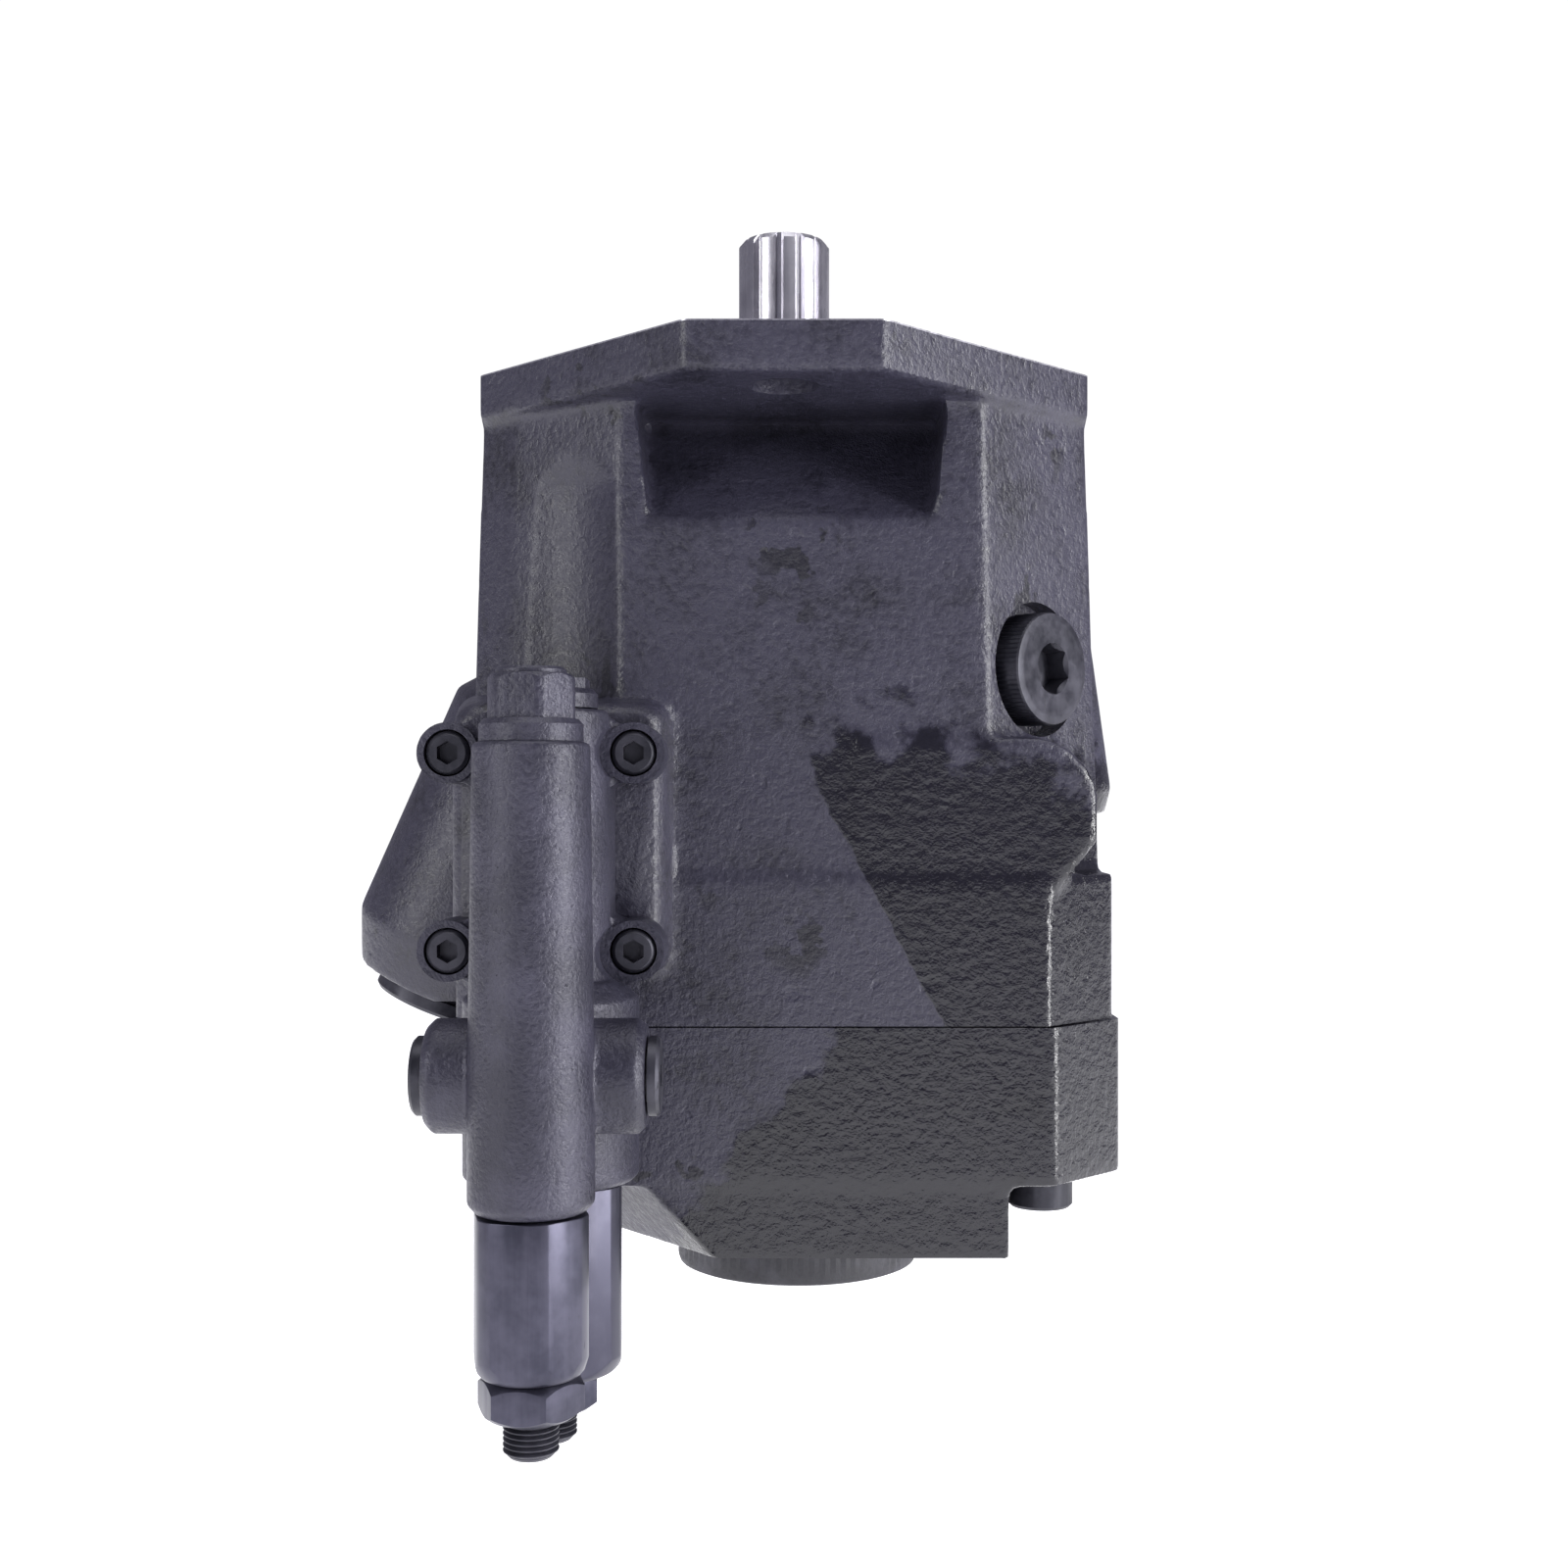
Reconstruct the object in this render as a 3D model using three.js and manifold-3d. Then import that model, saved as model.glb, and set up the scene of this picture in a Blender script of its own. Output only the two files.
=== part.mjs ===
// Swashplate axial piston pump with a pressure and flow compensator, as an assembly of its pieces.
// Millimetres, +Z up along the drive shaft, origin at the centre of the mounting flange's face.

import * as THREE from "three";
import { mergeVertices } from "three/addons/utils/BufferGeometryUtils.js";
import Module from "manifold-3d";

const wasm = await Module();
wasm.setup();

// ---- Driving dimensions ----
const gap = 0.3; // between pieces that touch
const running = 0.4; // round a piece that turns or slides in a bore

// Mounting flange, two bolts
const flangeThickness = 10;
const flangeHalfWidth = 67;
const flangeReach = 87; // from the shaft axis to the end of each ear
const earHalfWidth = 19.5;
const flangeSideHalf = 21;
const mountHolePitch = 146;
const mountHoleRadius = 7.15;
const pilotRadius = 50.8;
const pilotHeight = 9.5;

// Housing
const housingLength = 140; // flange face to the port plate joint
const bodyFront = 62; // shaft axis to the front and back faces
const bodySide = 67.5; // shaft axis to the sides
const bodyCorner = 26.5; // size of the 45 degree corners
const pocketHalf = 36; // clearance pocket for the bolt head under each ear
const pocketBack = 38; // shaft axis to the pocket's back edge
const pocketDrop = 30;
const skirtTop = 108; // where the wider foot begins, below the flange face
const skirtFront = 65;
const skirtSide = 70.6;
const skirtCorner = 16; // size of the 45 degree corners
const cavityRadius = 46;
const lobe = { reach: 64.5, back: 38, top: 80.5, bottom: 122, roundness: 12 }; // front right corner

// Port plate
const plateSide = 72;
const plateFront = 65;
const plateCorner = 16;
const portPlateThickness = 33;
const portBlockHeight = 15;
const portBlockHalf = 46.5;
const portBlockSide = 64.5; // half length of the block front to back
const suctionRadius = 23;
const suctionY = -22;
const pressureRadius = 14;
const pressureY = 30;
const portX = 3;
const portDepth = 20;
const portBoltRadius = 4;
const portBoltGrip = 18; // thread length in the housing
const portBoltHead = 7;
const portBoltHeadHeight = 7.5;
const portBoltSocket = 6;
const portBoltX = 55.5;
const portBoltY = 45;
const sealGroove = { inner: 50, outer: 54, depth: 2.6 };
const kidneyHalfWidth = 3.2;
const kidneyHalfSpan = 55; // degrees

// Shaft line
const splineRadius = 10.9;
const splineTeeth = 13;
const splineDepth = 1.1;
const shaftReach = 41; // beyond the flange face
const shaftRadius = 11;
const frontBearingRadius = 26;
const frontBearingTop = 14; // below the flange face
const frontBearingHeight = 20;
const rearBearingRadius = 19;
const rearBearingHeight = 15;
const sealRadius = 21;
const bearingSeat = 15; // shaft radius under the front bearing
const sealLand = 13; // under the seal
const collarRadius = 18; // shoulder behind the front bearing
const rearSeat = 9; // under the rear bearing
const barrelSplineRadius = 12.5;

// Rotating group
const barrelRadius = 40;
const barrelTop = 98; // below the flange face
const pistonCount = 9;
const pistonPitch = 27;
const pistonRadius = 7.4;
const pistonLength = 38;
const shoeRadius = 8.6;
const shoeThickness = 5;
const valvePlateThickness = 2.8;
const springRecess = 14;

// Swashplate
const swashFace = 76; // below the flange face, at zero tilt
const swashPivot = 79;
const cradleRadius = 36;
const cradleHalfWidth = 36;
const trackInner = 20; // inner edge of each bearing track
const shellThickness = 2;
const swashSlotHalf = 25; // room for the shaft as it tilts, along X
const swashSlotWide = 13;

// Stroking and bias pistons, each in a bulge on one side
const strokeLean = 24; // degrees from vertical
const strokeRadius = 12;
const strokeLength = 34;
const strokeTip = { x: -55, z: -72 };
const strokeBoreLength = 85; // from the piston tip to the open end of the bore
const strokePlugStem = 10; // length of the plug inside the bore
const biasRadius = 9;
const biasLength = 24;
const biasX = 57;
const biasY = 8;
const strokePocketReach = 64.5; // shaft axis to the far wall of the arm's room
const biasPocketReach = 66;
const armThickness = 8;
const strokeArmTop = 27; // above the pivot
const strokeArmHalf = 11;
const biasArmTop = 17;
const biasArmHalf = 5;

// Drain port on the front right corner
const drainZ = -65.5;
const drainRadius = 12;
const drainHeadHeight = 8.9;
const drainSeat = 3; // below the corner face
const drainX = 52.9;
const drainHex = 9.7;
const drainBossRadius = 15.5;
const drainThread = 9;

// Control valve
const padLeft = -71;
const padRight = -22;
const padTop = -70;
const padBottom = -132;
const padFace = 72; // shaft axis to the pad's face
const valveX = -45;
const valveScrewX = -47.4;
const valveScrewHalfX = 18.1;
const valveScrewZ = [-84.2, -122.8];
const valveScrewRadius = 4.25;
const valveScrewShank = 2.5;
const valveScrewGrip = 12; // thread length in the pad
const valveEarThickness = 14;
const valveScrewHeadHeight = 5;
const valveScrewSocket = 4;
const counterboreDepth = 5.5;
const earRadius = 6.05;
const valveTop = -83;
const pressureTop = -76; // top of the column behind
const valveBottom = -166.5;
const flowY = -116;
const flowColumnRadius = 11.35;
const flowBore = 5;
const pressureColumnY = -88;
const pressureColumnRadius = 11;
const springHousingRadius = 17;
const springHousingTop = -129.5;
const pressureBore = 6;
const crossZ = -143.8;
const crossY = -107;
const crossRadius = 10.5;
const crossBore = 5;
const crossHalf = 20.2;
const crossPlugRadius = 7.3;

// Adjusters under the control valve
const flowAdjuster = {
  kind: "flow", y: flowY, bore: flowBore, flats: 19.6, length: 28.5, springBore: 6.6, screwBelow: 7.3,
};
const pressureAdjuster = {
  kind: "pressure", y: pressureColumnY, bore: pressureBore, flats: 27, length: 36, springBore: 9.5,
  screwBelow: 6.5,
};
const sleeveFloor = 5;
const lockNutFlats = 17;
const lockNutHeight = 7;
const adjusterRadius = 5;
const adjusterSocket = 5;
const screwTravel = 2;

// ---- Finishes ----
const finishes = {
  paint: { color: 0x23222c, roughness: 0.35, metalness: 0.0 },
  valvePaint: { color: 0x4a4a58, roughness: 0.4, metalness: 0.3 },
  steel: { color: 0xb4b2bb, roughness: 0.3, metalness: 1.0 },
  satin: { color: 0x77778a, roughness: 0.4, metalness: 0.9 },
  black: { color: 0x26262c, roughness: 0.45, metalness: 0.6 },
  bronze: { color: 0xa9824a, roughness: 0.4, metalness: 0.9 },
  plastic: { color: 0x18181c, roughness: 0.5, metalness: 0.0 },
  rubber: { color: 0x151515, roughness: 0.8, metalness: 0.0 },
};

const pump = new THREE.Group();

// ---- Solids ----

// A closed geometry as a solid that can be joined and cut.
function solid(geometry) {
  const bare = geometry.clone();
  bare.deleteAttribute("normal");
  bare.deleteAttribute("uv");
  const merged = mergeVertices(bare, 1e-4);
  return new wasm.Manifold(
    new wasm.Mesh({
      numProp: 3,
      vertProperties: merged.attributes.position.array,
      triVerts: new Uint32Array(merged.index.array),
    }),
  );
}

// A joined or cut solid as a geometry again.
function geometryOf(body) {
  const mesh = body.getMesh();
  const geometry = new THREE.BufferGeometry();
  geometry.setAttribute("position", new THREE.BufferAttribute(mesh.vertProperties, 3));
  geometry.setIndex(new THREE.BufferAttribute(mesh.triVerts, 1));
  geometry.computeVertexNormals();
  return geometry;
}

function join(...geometries) {
  return geometryOf(geometries.map(solid).reduce((all, next) => all.add(next)));
}

function cut(base, ...tools) {
  return geometryOf(tools.map(solid).reduce((rest, tool) => rest.subtract(tool), solid(base)));
}

function common(first, second) {
  return geometryOf(solid(first).intersect(solid(second)));
}

function addPiece(name, finish, geometry, group = pump) {
  const piece = new THREE.Mesh(geometry, new THREE.MeshStandardMaterial(finishes[finish]));
  piece.name = name;
  group.add(piece);
  return piece;
}

// A turned piece about Z. Its [radius, z] points run up the outer side.
function turned(profile, sides = 20) {
  const points = profile.map(([radius, z]) => new THREE.Vector2(radius, z));
  return new THREE.LatheGeometry(points, sides).rotateX(Math.PI / 2);
}

function rod(radius, bottom, top, sides = 20) {
  return turned([[0, bottom], [radius, bottom], [radius, top], [0, top]], sides);
}

function ring(inner, outer, bottom, top, sides = 20) {
  const profile = [[inner, bottom], [outer, bottom], [outer, top], [inner, top], [inner, bottom]];
  return turned(profile, sides);
}

function prism(outline, bottom, top) {
  const shape = new THREE.Shape(outline.map(([x, y]) => new THREE.Vector2(x, y)));
  const settings = { depth: top - bottom, bevelEnabled: false };
  return new THREE.ExtrudeGeometry(shape, settings).translate(0, 0, bottom);
}

function block(x0, x1, y0, y1, z0, z1) {
  const box = new THREE.BoxGeometry(x1 - x0, y1 - y0, z1 - z0);
  return box.translate((x0 + x1) / 2, (y0 + y1) / 2, (z0 + z1) / 2);
}

// A rectangle with its corners cut at 45 degrees.
function chamferedOutline(halfX, halfY, corner) {
  return [
    [halfX - corner, -halfY], [halfX, corner - halfY],
    [halfX, halfY - corner], [halfX - corner, halfY],
    [corner - halfX, halfY], [-halfX, halfY - corner],
    [-halfX, corner - halfY], [corner - halfX, -halfY],
  ];
}

// A rectangle with round corners.
function roundedOutline(x0, x1, y0, y1, radius, steps = 5) {
  const centres = [
    [x1 - radius, y0 + radius, -90], [x1 - radius, y1 - radius, 0],
    [x0 + radius, y1 - radius, 90], [x0 + radius, y0 + radius, 180],
  ];
  return centres.flatMap(([x, y, start]) =>
    Array.from({ length: steps + 1 }, (_, step) => {
      const angle = THREE.MathUtils.degToRad(start + (90 * step) / steps);
      return [x + radius * Math.cos(angle), y + radius * Math.sin(angle)];
    }),
  );
}

function hexOutline(acrossFlats) {
  const corner = acrossFlats / Math.sqrt(3);
  return Array.from({ length: 6 }, (_, side) => {
    const angle = (Math.PI / 3) * side;
    return [corner * Math.cos(angle), corner * Math.sin(angle)];
  });
}

// A hexagonal socket's cutter, sized across its flats.
function hexCutter(acrossFlats, bottom, top) {
  return prism(hexOutline(acrossFlats), bottom, top);
}

// Turns a piece drawn along +Z to point along -Y, with its z as the distance from the shaft axis.
function facingFront(geometry) {
  return geometry.rotateX(Math.PI / 2);
}

// A cap screw drawn with its head's underside at z = 0 and its shank below.
function capScrew(headRadius, headHeight, shankRadius, shankLength, socketFlats) {
  const head = turned([
    [0, -shankLength], [shankRadius, -shankLength], [shankRadius, 0], [headRadius, 0],
    [headRadius, headHeight - 0.6], [headRadius - 0.6, headHeight], [0, headHeight],
  ], 24);
  return cut(head, hexCutter(socketFlats, headHeight * 0.4, headHeight + 1));
}

// A coil spring about Z.
function coil(meanRadius, wireRadius, bottom, top, turns) {
  const points = Array.from({ length: turns * 8 + 1 }, (_, step) => {
    const angle = (Math.PI / 4) * step;
    const rise = (top - bottom - 2 * wireRadius) * (step / (turns * 8));
    const z = bottom + wireRadius + rise;
    return new THREE.Vector3(meanRadius * Math.cos(angle), meanRadius * Math.sin(angle), z);
  });
  const wire = Array.from({ length: 4 }, (_, side) => {
    const angle = (Math.PI / 2) * side;
    return new THREE.Vector2(wireRadius * Math.cos(angle), wireRadius * Math.sin(angle));
  });
  return new THREE.ExtrudeGeometry(new THREE.Shape(wire), {
    steps: turns * 8,
    extrudePath: new THREE.CatmullRomCurve3(points),
  });
}

// A hexagonal bar with its lower corners turned off, hollow from the top down.
function hexSleeve(flats, top, length, bore, floor, screwHole) {
  const corner = flats / Math.sqrt(3);
  const turnedBar = turned([
    [0, top - length], [flats / 2 - 0.5, top - length], [corner - 0.3, top - length + 2.5],
    [corner - 0.3, top], [0, top],
  ], 24);
  const bar = common(prism(hexOutline(flats), top - length, top), turnedBar);
  return cut(bar, rod(bore, top - length + floor, top + 1, 24), rod(screwHole, top - length - 1, top, 24));
}

function hexNut(flats, top, height, hole) {
  const corner = flats / Math.sqrt(3);
  const chamfer = 1.2;
  const blank = turned([
    [0, top - height], [flats / 2 - 0.2, top - height], [corner, top - height + chamfer],
    [corner, top - chamfer], [flats / 2 - 0.2, top], [0, top],
  ], 24);
  const nut = common(prism(hexOutline(flats), top - height, top), blank);
  return cut(nut, rod(hole, top - height - 1, top + 1, 24));
}

// A kidney-shaped slot under the pistons, centred on the given direction in degrees.
function kidneyOutline(centre, steps = 10) {
  const arc = (radius, from, to) =>
    Array.from({ length: steps + 1 }, (_, step) => {
      const angle = THREE.MathUtils.degToRad(from + ((to - from) * step) / steps);
      return [radius * Math.cos(angle), radius * Math.sin(angle)];
    });
  return [
    ...arc(pistonPitch + kidneyHalfWidth, centre - kidneyHalfSpan, centre + kidneyHalfSpan),
    ...arc(pistonPitch - kidneyHalfWidth, centre + kidneyHalfSpan, centre - kidneyHalfSpan),
  ];
}

// ---- Levels along the shaft, worked out from the driving dimensions ----
const housingBottom = -housingLength;
const portFace = housingBottom - gap;
const portPlateBottom = portFace - portPlateThickness;
const rearFace = portPlateBottom - portBlockHeight;
const valvePlateBottom = portFace + gap;
const barrelBottom = valvePlateBottom + valvePlateThickness + gap;
const frontBearingBottom = -frontBearingTop - frontBearingHeight;
const rearBearingBottom = portFace - rearBearingHeight - 2;
const pivotZ = -swashPivot;
const saddleRadius = cradleRadius + shellThickness + 2 * gap;
const saddleTop = pivotZ + saddleRadius;
const portBoltPlaces = [
  [-portBoltX, -portBoltY], [portBoltX, -portBoltY], [portBoltX, portBoltY], [-portBoltX, portBoltY],
];

// ---- Where the two control pistons sit ----
const strokeBoreRadius = strokeRadius + running;
const strokePlugHead = strokeRadius + 1;
const strokeBulgeRadius = strokeRadius + 11.7;
const strokeBulgeEnd = strokeRadius + 6.4;
const biasBoreRadius = biasRadius + running;

// Puts a piece drawn down from the origin onto the stroking piston's leaning axis.
function onStrokeAxis(geometry) {
  const tip = strokeTipPlace();
  return geometry.rotateY(THREE.MathUtils.degToRad(strokeLean)).translate(tip.x, 0, tip.z);
}

// The piston's tip lies just under the swashplate's left arm.
function strokeTipPlace() {
  const tipZ = pivotZ + strokeArmTop - armThickness - 1;
  const drop = strokeTip.z - tipZ;
  return { x: strokeTip.x - drop * Math.tan(THREE.MathUtils.degToRad(strokeLean)), z: tipZ };
}

// ---- Housing ----

function flangeOutline() {
  return [
    [earHalfWidth, -flangeReach], [flangeHalfWidth, -flangeSideHalf],
    [flangeHalfWidth, flangeSideHalf], [earHalfWidth, flangeReach],
    [-earHalfWidth, flangeReach], [-flangeHalfWidth, flangeSideHalf],
    [-flangeHalfWidth, -flangeSideHalf], [-earHalfWidth, -flangeReach],
  ];
}

function onDrainAxis(geometry) {
  const diagonal = bodySide + bodyFront - bodyCorner; // x + |y| on the corner face
  return geometry
    .rotateX(Math.PI / 2)
    .rotateZ(Math.PI / 4)
    .translate(drainX, drainX - diagonal, drainZ);
}

// The sloped pocket that clears a bolt head, at the front (-1) or back (1).
function boltPocket(side) {
  const top = -flangeThickness;
  const outline = [
    [pocketBack, top], [bodyFront + 0.5, top - pocketDrop], [flangeReach + 5, top - pocketDrop],
    [flangeReach + 5, top],
  ];
  const wedge = prism(outline, -pocketHalf, pocketHalf).rotateX(Math.PI / 2).rotateZ(Math.PI / 2);
  return side > 0 ? wedge : wedge.rotateZ(Math.PI);
}

// The flat-faced lobe low on the front right corner, with its outer edges cut at 45 degrees.
function cornerLobe() {
  const { reach, back, top, bottom, roundness } = lobe;
  const outline = [
    [0, -bottom], [reach - roundness, -bottom], [reach, roundness - bottom], [reach, -top - roundness],
    [reach - roundness, -top], [0, -top],
  ];
  return facingFront(prism(outline, back, skirtFront - 0.5));
}

function housingOutside() {
  const column = prism(
    chamferedOutline(bodySide, bodyFront, bodyCorner), housingBottom, -flangeThickness / 2,
  );
  const skirtOutline = chamferedOutline(skirtSide, skirtFront, skirtCorner);
  const skirt = prism(skirtOutline, housingBottom, -skirtTop);
  const flange = prism(flangeOutline(), -flangeThickness, 0);
  const pilot = turned([
    [0, -1], [pilotRadius, -1], [pilotRadius, pilotHeight - 1], [pilotRadius - 1, pilotHeight],
    [0, pilotHeight],
  ], 40);
  const padOutline = roundedOutline(padLeft, padRight, padBottom, padTop, 7);
  const pad = facingFront(prism(padOutline, bodyFront - 20, padFace));
  const strokeBulge = onStrokeAxis(turned([
    [0, -strokeBoreLength], [strokeBulgeEnd, -strokeBoreLength],
    [strokeBulgeRadius, 12 - strokeBoreLength], [strokeBulgeRadius, -16], [8, 4], [0, 4],
  ], 32));
  const biasBulge = turned([[0, -50], [16, -50], [18, -44], [16, -4], [8, 6], [0, 6]], 24)
    .rotateY(THREE.MathUtils.degToRad(-5))
    .translate(biasX + 2, biasY + 4, -48);
  const drainBoss = onDrainAxis(rod(drainBossRadius, -14, -drainSeat, 24));
  const body = cut(column, boltPocket(-1), boltPocket(1));
  const belowJoint = block(-plateSide, plateSide, -plateFront, plateFront, housingBottom - 30, housingBottom);
  const bulge = cut(strokeBulge, belowJoint);
  return join(body, skirt, flange, pilot, pad, bulge, biasBulge, cornerLobe(), drainBoss);
}

function swashRoom() {
  const saddle = rod(saddleRadius, -cradleHalfWidth - 2, cradleHalfWidth + 2, 40)
    .rotateX(Math.PI / 2)
    .translate(0, 0, pivotZ);
  const above = block(-60, 60, -60, 60, pivotZ - 1, 0);
  return common(saddle, above);
}

function housing() {
  const slot = block(-cavityRadius, cavityRadius, -trackInner + 3, trackInner - 3, pivotZ - 1, saddleTop);
  const bores = [
    rod(cavityRadius, housingBottom - 1, pivotZ, 40),
    rod(frontBearingRadius, pivotZ - 1, -frontBearingTop, 24),
    rod(sealRadius, -frontBearingTop - 1, pilotHeight + 1, 24),
    swashRoom(),
    slot,
    block(-strokePocketReach, -40, -strokeArmHalf - 3, strokeArmHalf + 3, pivotZ - 14, pivotZ + 35),
    block(40, biasPocketReach, biasY - biasArmHalf - 2, biasY + biasArmHalf + 2, pivotZ - 2, pivotZ + 38),
    onStrokeAxis(rod(strokeBoreRadius, -strokeBoreLength - 1, -18, 24)),
    rod(biasBoreRadius, housingBottom - 1, pivotZ + 34, 24).translate(biasX, biasY, 0),
    onDrainAxis(rod(drainThread + gap, -45, 1, 24)),
    onDrainAxis(rod(drainRadius + 1, -drainSeat - gap, drainHeadHeight, 24)),
  ];
  const mountHoles = [-1, 1].map((side) =>
    rod(mountHoleRadius, -flangeThickness - 1, 1, 24).translate(0, (side * mountHolePitch) / 2, 0),
  );
  const boltHoles = portBoltPlaces.map(([x, y]) =>
    rod(portBoltRadius + gap, housingBottom - 1, housingBottom + portBoltGrip + 1, 12).translate(x, y, 0),
  );
  const screwHoles = valveScrewPlaces().map(([x, z]) =>
    facingFront(rod(valveScrewShank + gap, padFace - valveScrewGrip - 1, padFace + 1, 12)).translate(x, 0, z),
  );
  addPiece("housing", "paint", cut(housingOutside(), ...bores, ...mountHoles, ...boltHoles, ...screwHoles));
}

// ---- Port plate ----

// Room beside the plate for the plug of the leaning bore.
function strokePlugRoom() {
  const mouth = -strokeBoreLength;
  return onStrokeAxis(turned([
    [0, mouth - 5], [strokePlugHead + gap, mouth - 5], [strokePlugHead + gap, mouth],
    [strokeRadius, mouth], [strokeRadius, mouth + strokePlugStem], [0, mouth + strokePlugStem],
  ], 24));
}

function portPlate() {
  const plateOutline = chamferedOutline(plateSide, plateFront, plateCorner);
  const blockOutline = roundedOutline(-portBlockHalf, portBlockHalf, -portBlockSide, portBlockSide, 8);
  const body = join(
    prism(plateOutline, portPlateBottom, portFace),
    prism(blockOutline, rearFace, portPlateBottom + 1),
  );
  const kidneyFloor = rearFace + portDepth - 4;
  const kidneys = [-90, 90].map((centre) => prism(kidneyOutline(centre), kidneyFloor, portFace + 1));
  const bores = [
    rod(rearBearingRadius, rearBearingBottom, portFace + 1, 24),
    rod(suctionRadius, rearFace - 1, rearFace + portDepth, 24).translate(portX, suctionY, 0),
    rod(pressureRadius, rearFace - 1, rearFace + portDepth, 24).translate(portX, pressureY, 0),
    ring(sealGroove.inner, sealGroove.outer, portFace - sealGroove.depth, portFace + 1, 40),
    strokePlugRoom(),
  ];
  const holes = portBoltPlaces.map(([x, y]) =>
    rod(portBoltRadius + gap, portPlateBottom - 1, portFace + 1, 12).translate(x, y, 0),
  );
  addPiece("port_plate", "paint", cut(body, ...kidneys, ...bores, ...holes));
  addPiece("port_plate_seal", "rubber", turned([
    [sealGroove.inner + 0.3, portFace - sealGroove.depth + 0.3],
    [sealGroove.outer - 0.3, portFace - sealGroove.depth + 0.3],
    [sealGroove.outer - 0.3, portFace - 0.1], [sealGroove.inner + 0.3, portFace - 0.1],
    [sealGroove.inner + 0.3, portFace - sealGroove.depth + 0.3],
  ], 40));
  const boltLength = portPlateThickness + gap + portBoltGrip;
  portBoltPlaces.forEach(([x, y], index) => {
    const bolt = capScrew(portBoltHead, portBoltHeadHeight, portBoltRadius, boltLength, portBoltSocket);
    bolt.rotateX(Math.PI).translate(x, y, portPlateBottom - gap);
    addPiece(`port_plate_bolt_${index + 1}`, "black", bolt);
  });
}

// A plastic shipping plug pushed into a port from below.
function portPlug(name, portRadius, headRadius, y) {
  const shape = turned([
    [0, -9.5], [headRadius - 1.5, -9.5], [headRadius, -8], [headRadius, 0],
    [portRadius - 0.5, 0], [portRadius - 0.5, portDepth - 4], [0, portDepth - 4],
  ], 24);
  const socket = hexCutter(portRadius, -11, -3);
  addPiece(name, "plastic", cut(shape, socket).translate(portX, y, rearFace - gap));
}

function drainPlug() {
  const top = drainHeadHeight - drainSeat;
  const plug = turned([
    [0, -16], [drainThread, -16], [drainThread, -drainSeat], [drainRadius, -drainSeat],
    [drainRadius, top - 1], [drainRadius - 1, top], [0, top],
  ], 24);
  addPiece("drain_plug", "black", onDrainAxis(cut(plug, hexCutter(drainHex, top - 5, top + 1))));
}

// ---- Shaft, bearings and seal ----

function splineCutter(angle) {
  const groove = prism([
    [splineRadius - splineDepth, -0.6], [splineRadius + 1, -1.6],
    [splineRadius + 1, 1.6], [splineRadius - splineDepth, 0.6],
  ], 2, shaftReach + 1);
  return groove.rotateZ(angle);
}

function driveShaft() {
  const barrelSplineTop = -barrelTop - springRecess - 1;
  const blank = turned([
    [0, rearBearingBottom + 1], [rearSeat, rearBearingBottom + 1], [rearSeat, portFace - 1.5],
    [shaftRadius, portFace], [shaftRadius, barrelBottom + 4],
    [barrelSplineRadius - running, barrelBottom + 4], [barrelSplineRadius - running, barrelSplineTop],
    [shaftRadius, barrelSplineTop], [shaftRadius, frontBearingBottom - 5],
    [collarRadius, frontBearingBottom - 5], [collarRadius, frontBearingBottom - gap],
    [bearingSeat, frontBearingBottom - gap], [bearingSeat, -frontBearingTop],
    [sealLand, -frontBearingTop], [sealLand, 1], [splineRadius, 2],
    [splineRadius, shaftReach - 1.2], [splineRadius - 1.2, shaftReach], [0, shaftReach],
  ], 39);
  const grooves = Array.from({ length: splineTeeth }, (_, tooth) =>
    splineCutter((2 * Math.PI * tooth) / splineTeeth),
  );
  addPiece("drive_shaft", "steel", cut(blank, ...grooves));
}

// A taper bearing as its outer cup and its cone with the rollers round it.
function taperBearing(place, seat, bore, bottom, top, smallEnd) {
  const middle = (seat + bore) / 2;
  const [low, high] = smallEnd === "up" ? [2, -1] : [-1, 2];
  const cupProfile = [
    [middle + low + running, bottom], [bore - gap, bottom], [bore - gap, top],
    [middle + high + running, top], [middle + low + running, bottom],
  ];
  const coneProfile = [
    [seat + gap, bottom], [middle + low, bottom], [middle + high, top], [seat + gap, top],
    [seat + gap, bottom],
  ];
  addPiece(`${place}_bearing_cup`, "steel", turned(cupProfile, 24));
  addPiece(`${place}_bearing_cone`, "steel", turned(coneProfile, 24));
}

function shaftSeal() {
  const bottom = -frontBearingTop + 1;
  const lipInner = sealLand + running;
  addPiece("shaft_seal", "rubber", turned([
    [lipInner, bottom], [lipInner + 1.5, bottom], [lipInner + 1.5, -4], [sealRadius - 1.5, -4],
    [sealRadius - 1.5, bottom], [sealRadius - gap, bottom], [sealRadius - gap, -2],
    [lipInner, -2], [lipInner, bottom],
  ], 24));
  const wall = ring(sealRadius - 3, sealRadius - gap, -1.6, 0, 24);
  addPiece("seal_retaining_ring", "black", cut(wall, block(-2, 2, -sealRadius, -sealRadius + 8, -2, 1)));
}

// ---- Rotating group ----

function pistonAngle(index) {
  return (2 * Math.PI * index) / pistonCount;
}

function cylinderBarrel() {
  const body = ring(barrelSplineRadius, barrelRadius, barrelBottom, -barrelTop, 24);
  const recess = rod(guideRadius() + running, -barrelTop - springRecess, -barrelTop + 1, 24);
  const bores = Array.from({ length: pistonCount }, (_, index) => {
    const hole = turned([
      [0, barrelBottom - 1], [4, barrelBottom - 1], [4, barrelBottom + 3.5],
      [pistonRadius + running, barrelBottom + 3.5], [pistonRadius + running, -barrelTop + 1],
      [0, -barrelTop + 1],
    ], 12);
    return hole.translate(pistonPitch, 0, 0).rotateZ(pistonAngle(index));
  });
  addPiece("cylinder_barrel", "bronze", cut(body, recess, ...bores));
}

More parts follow.
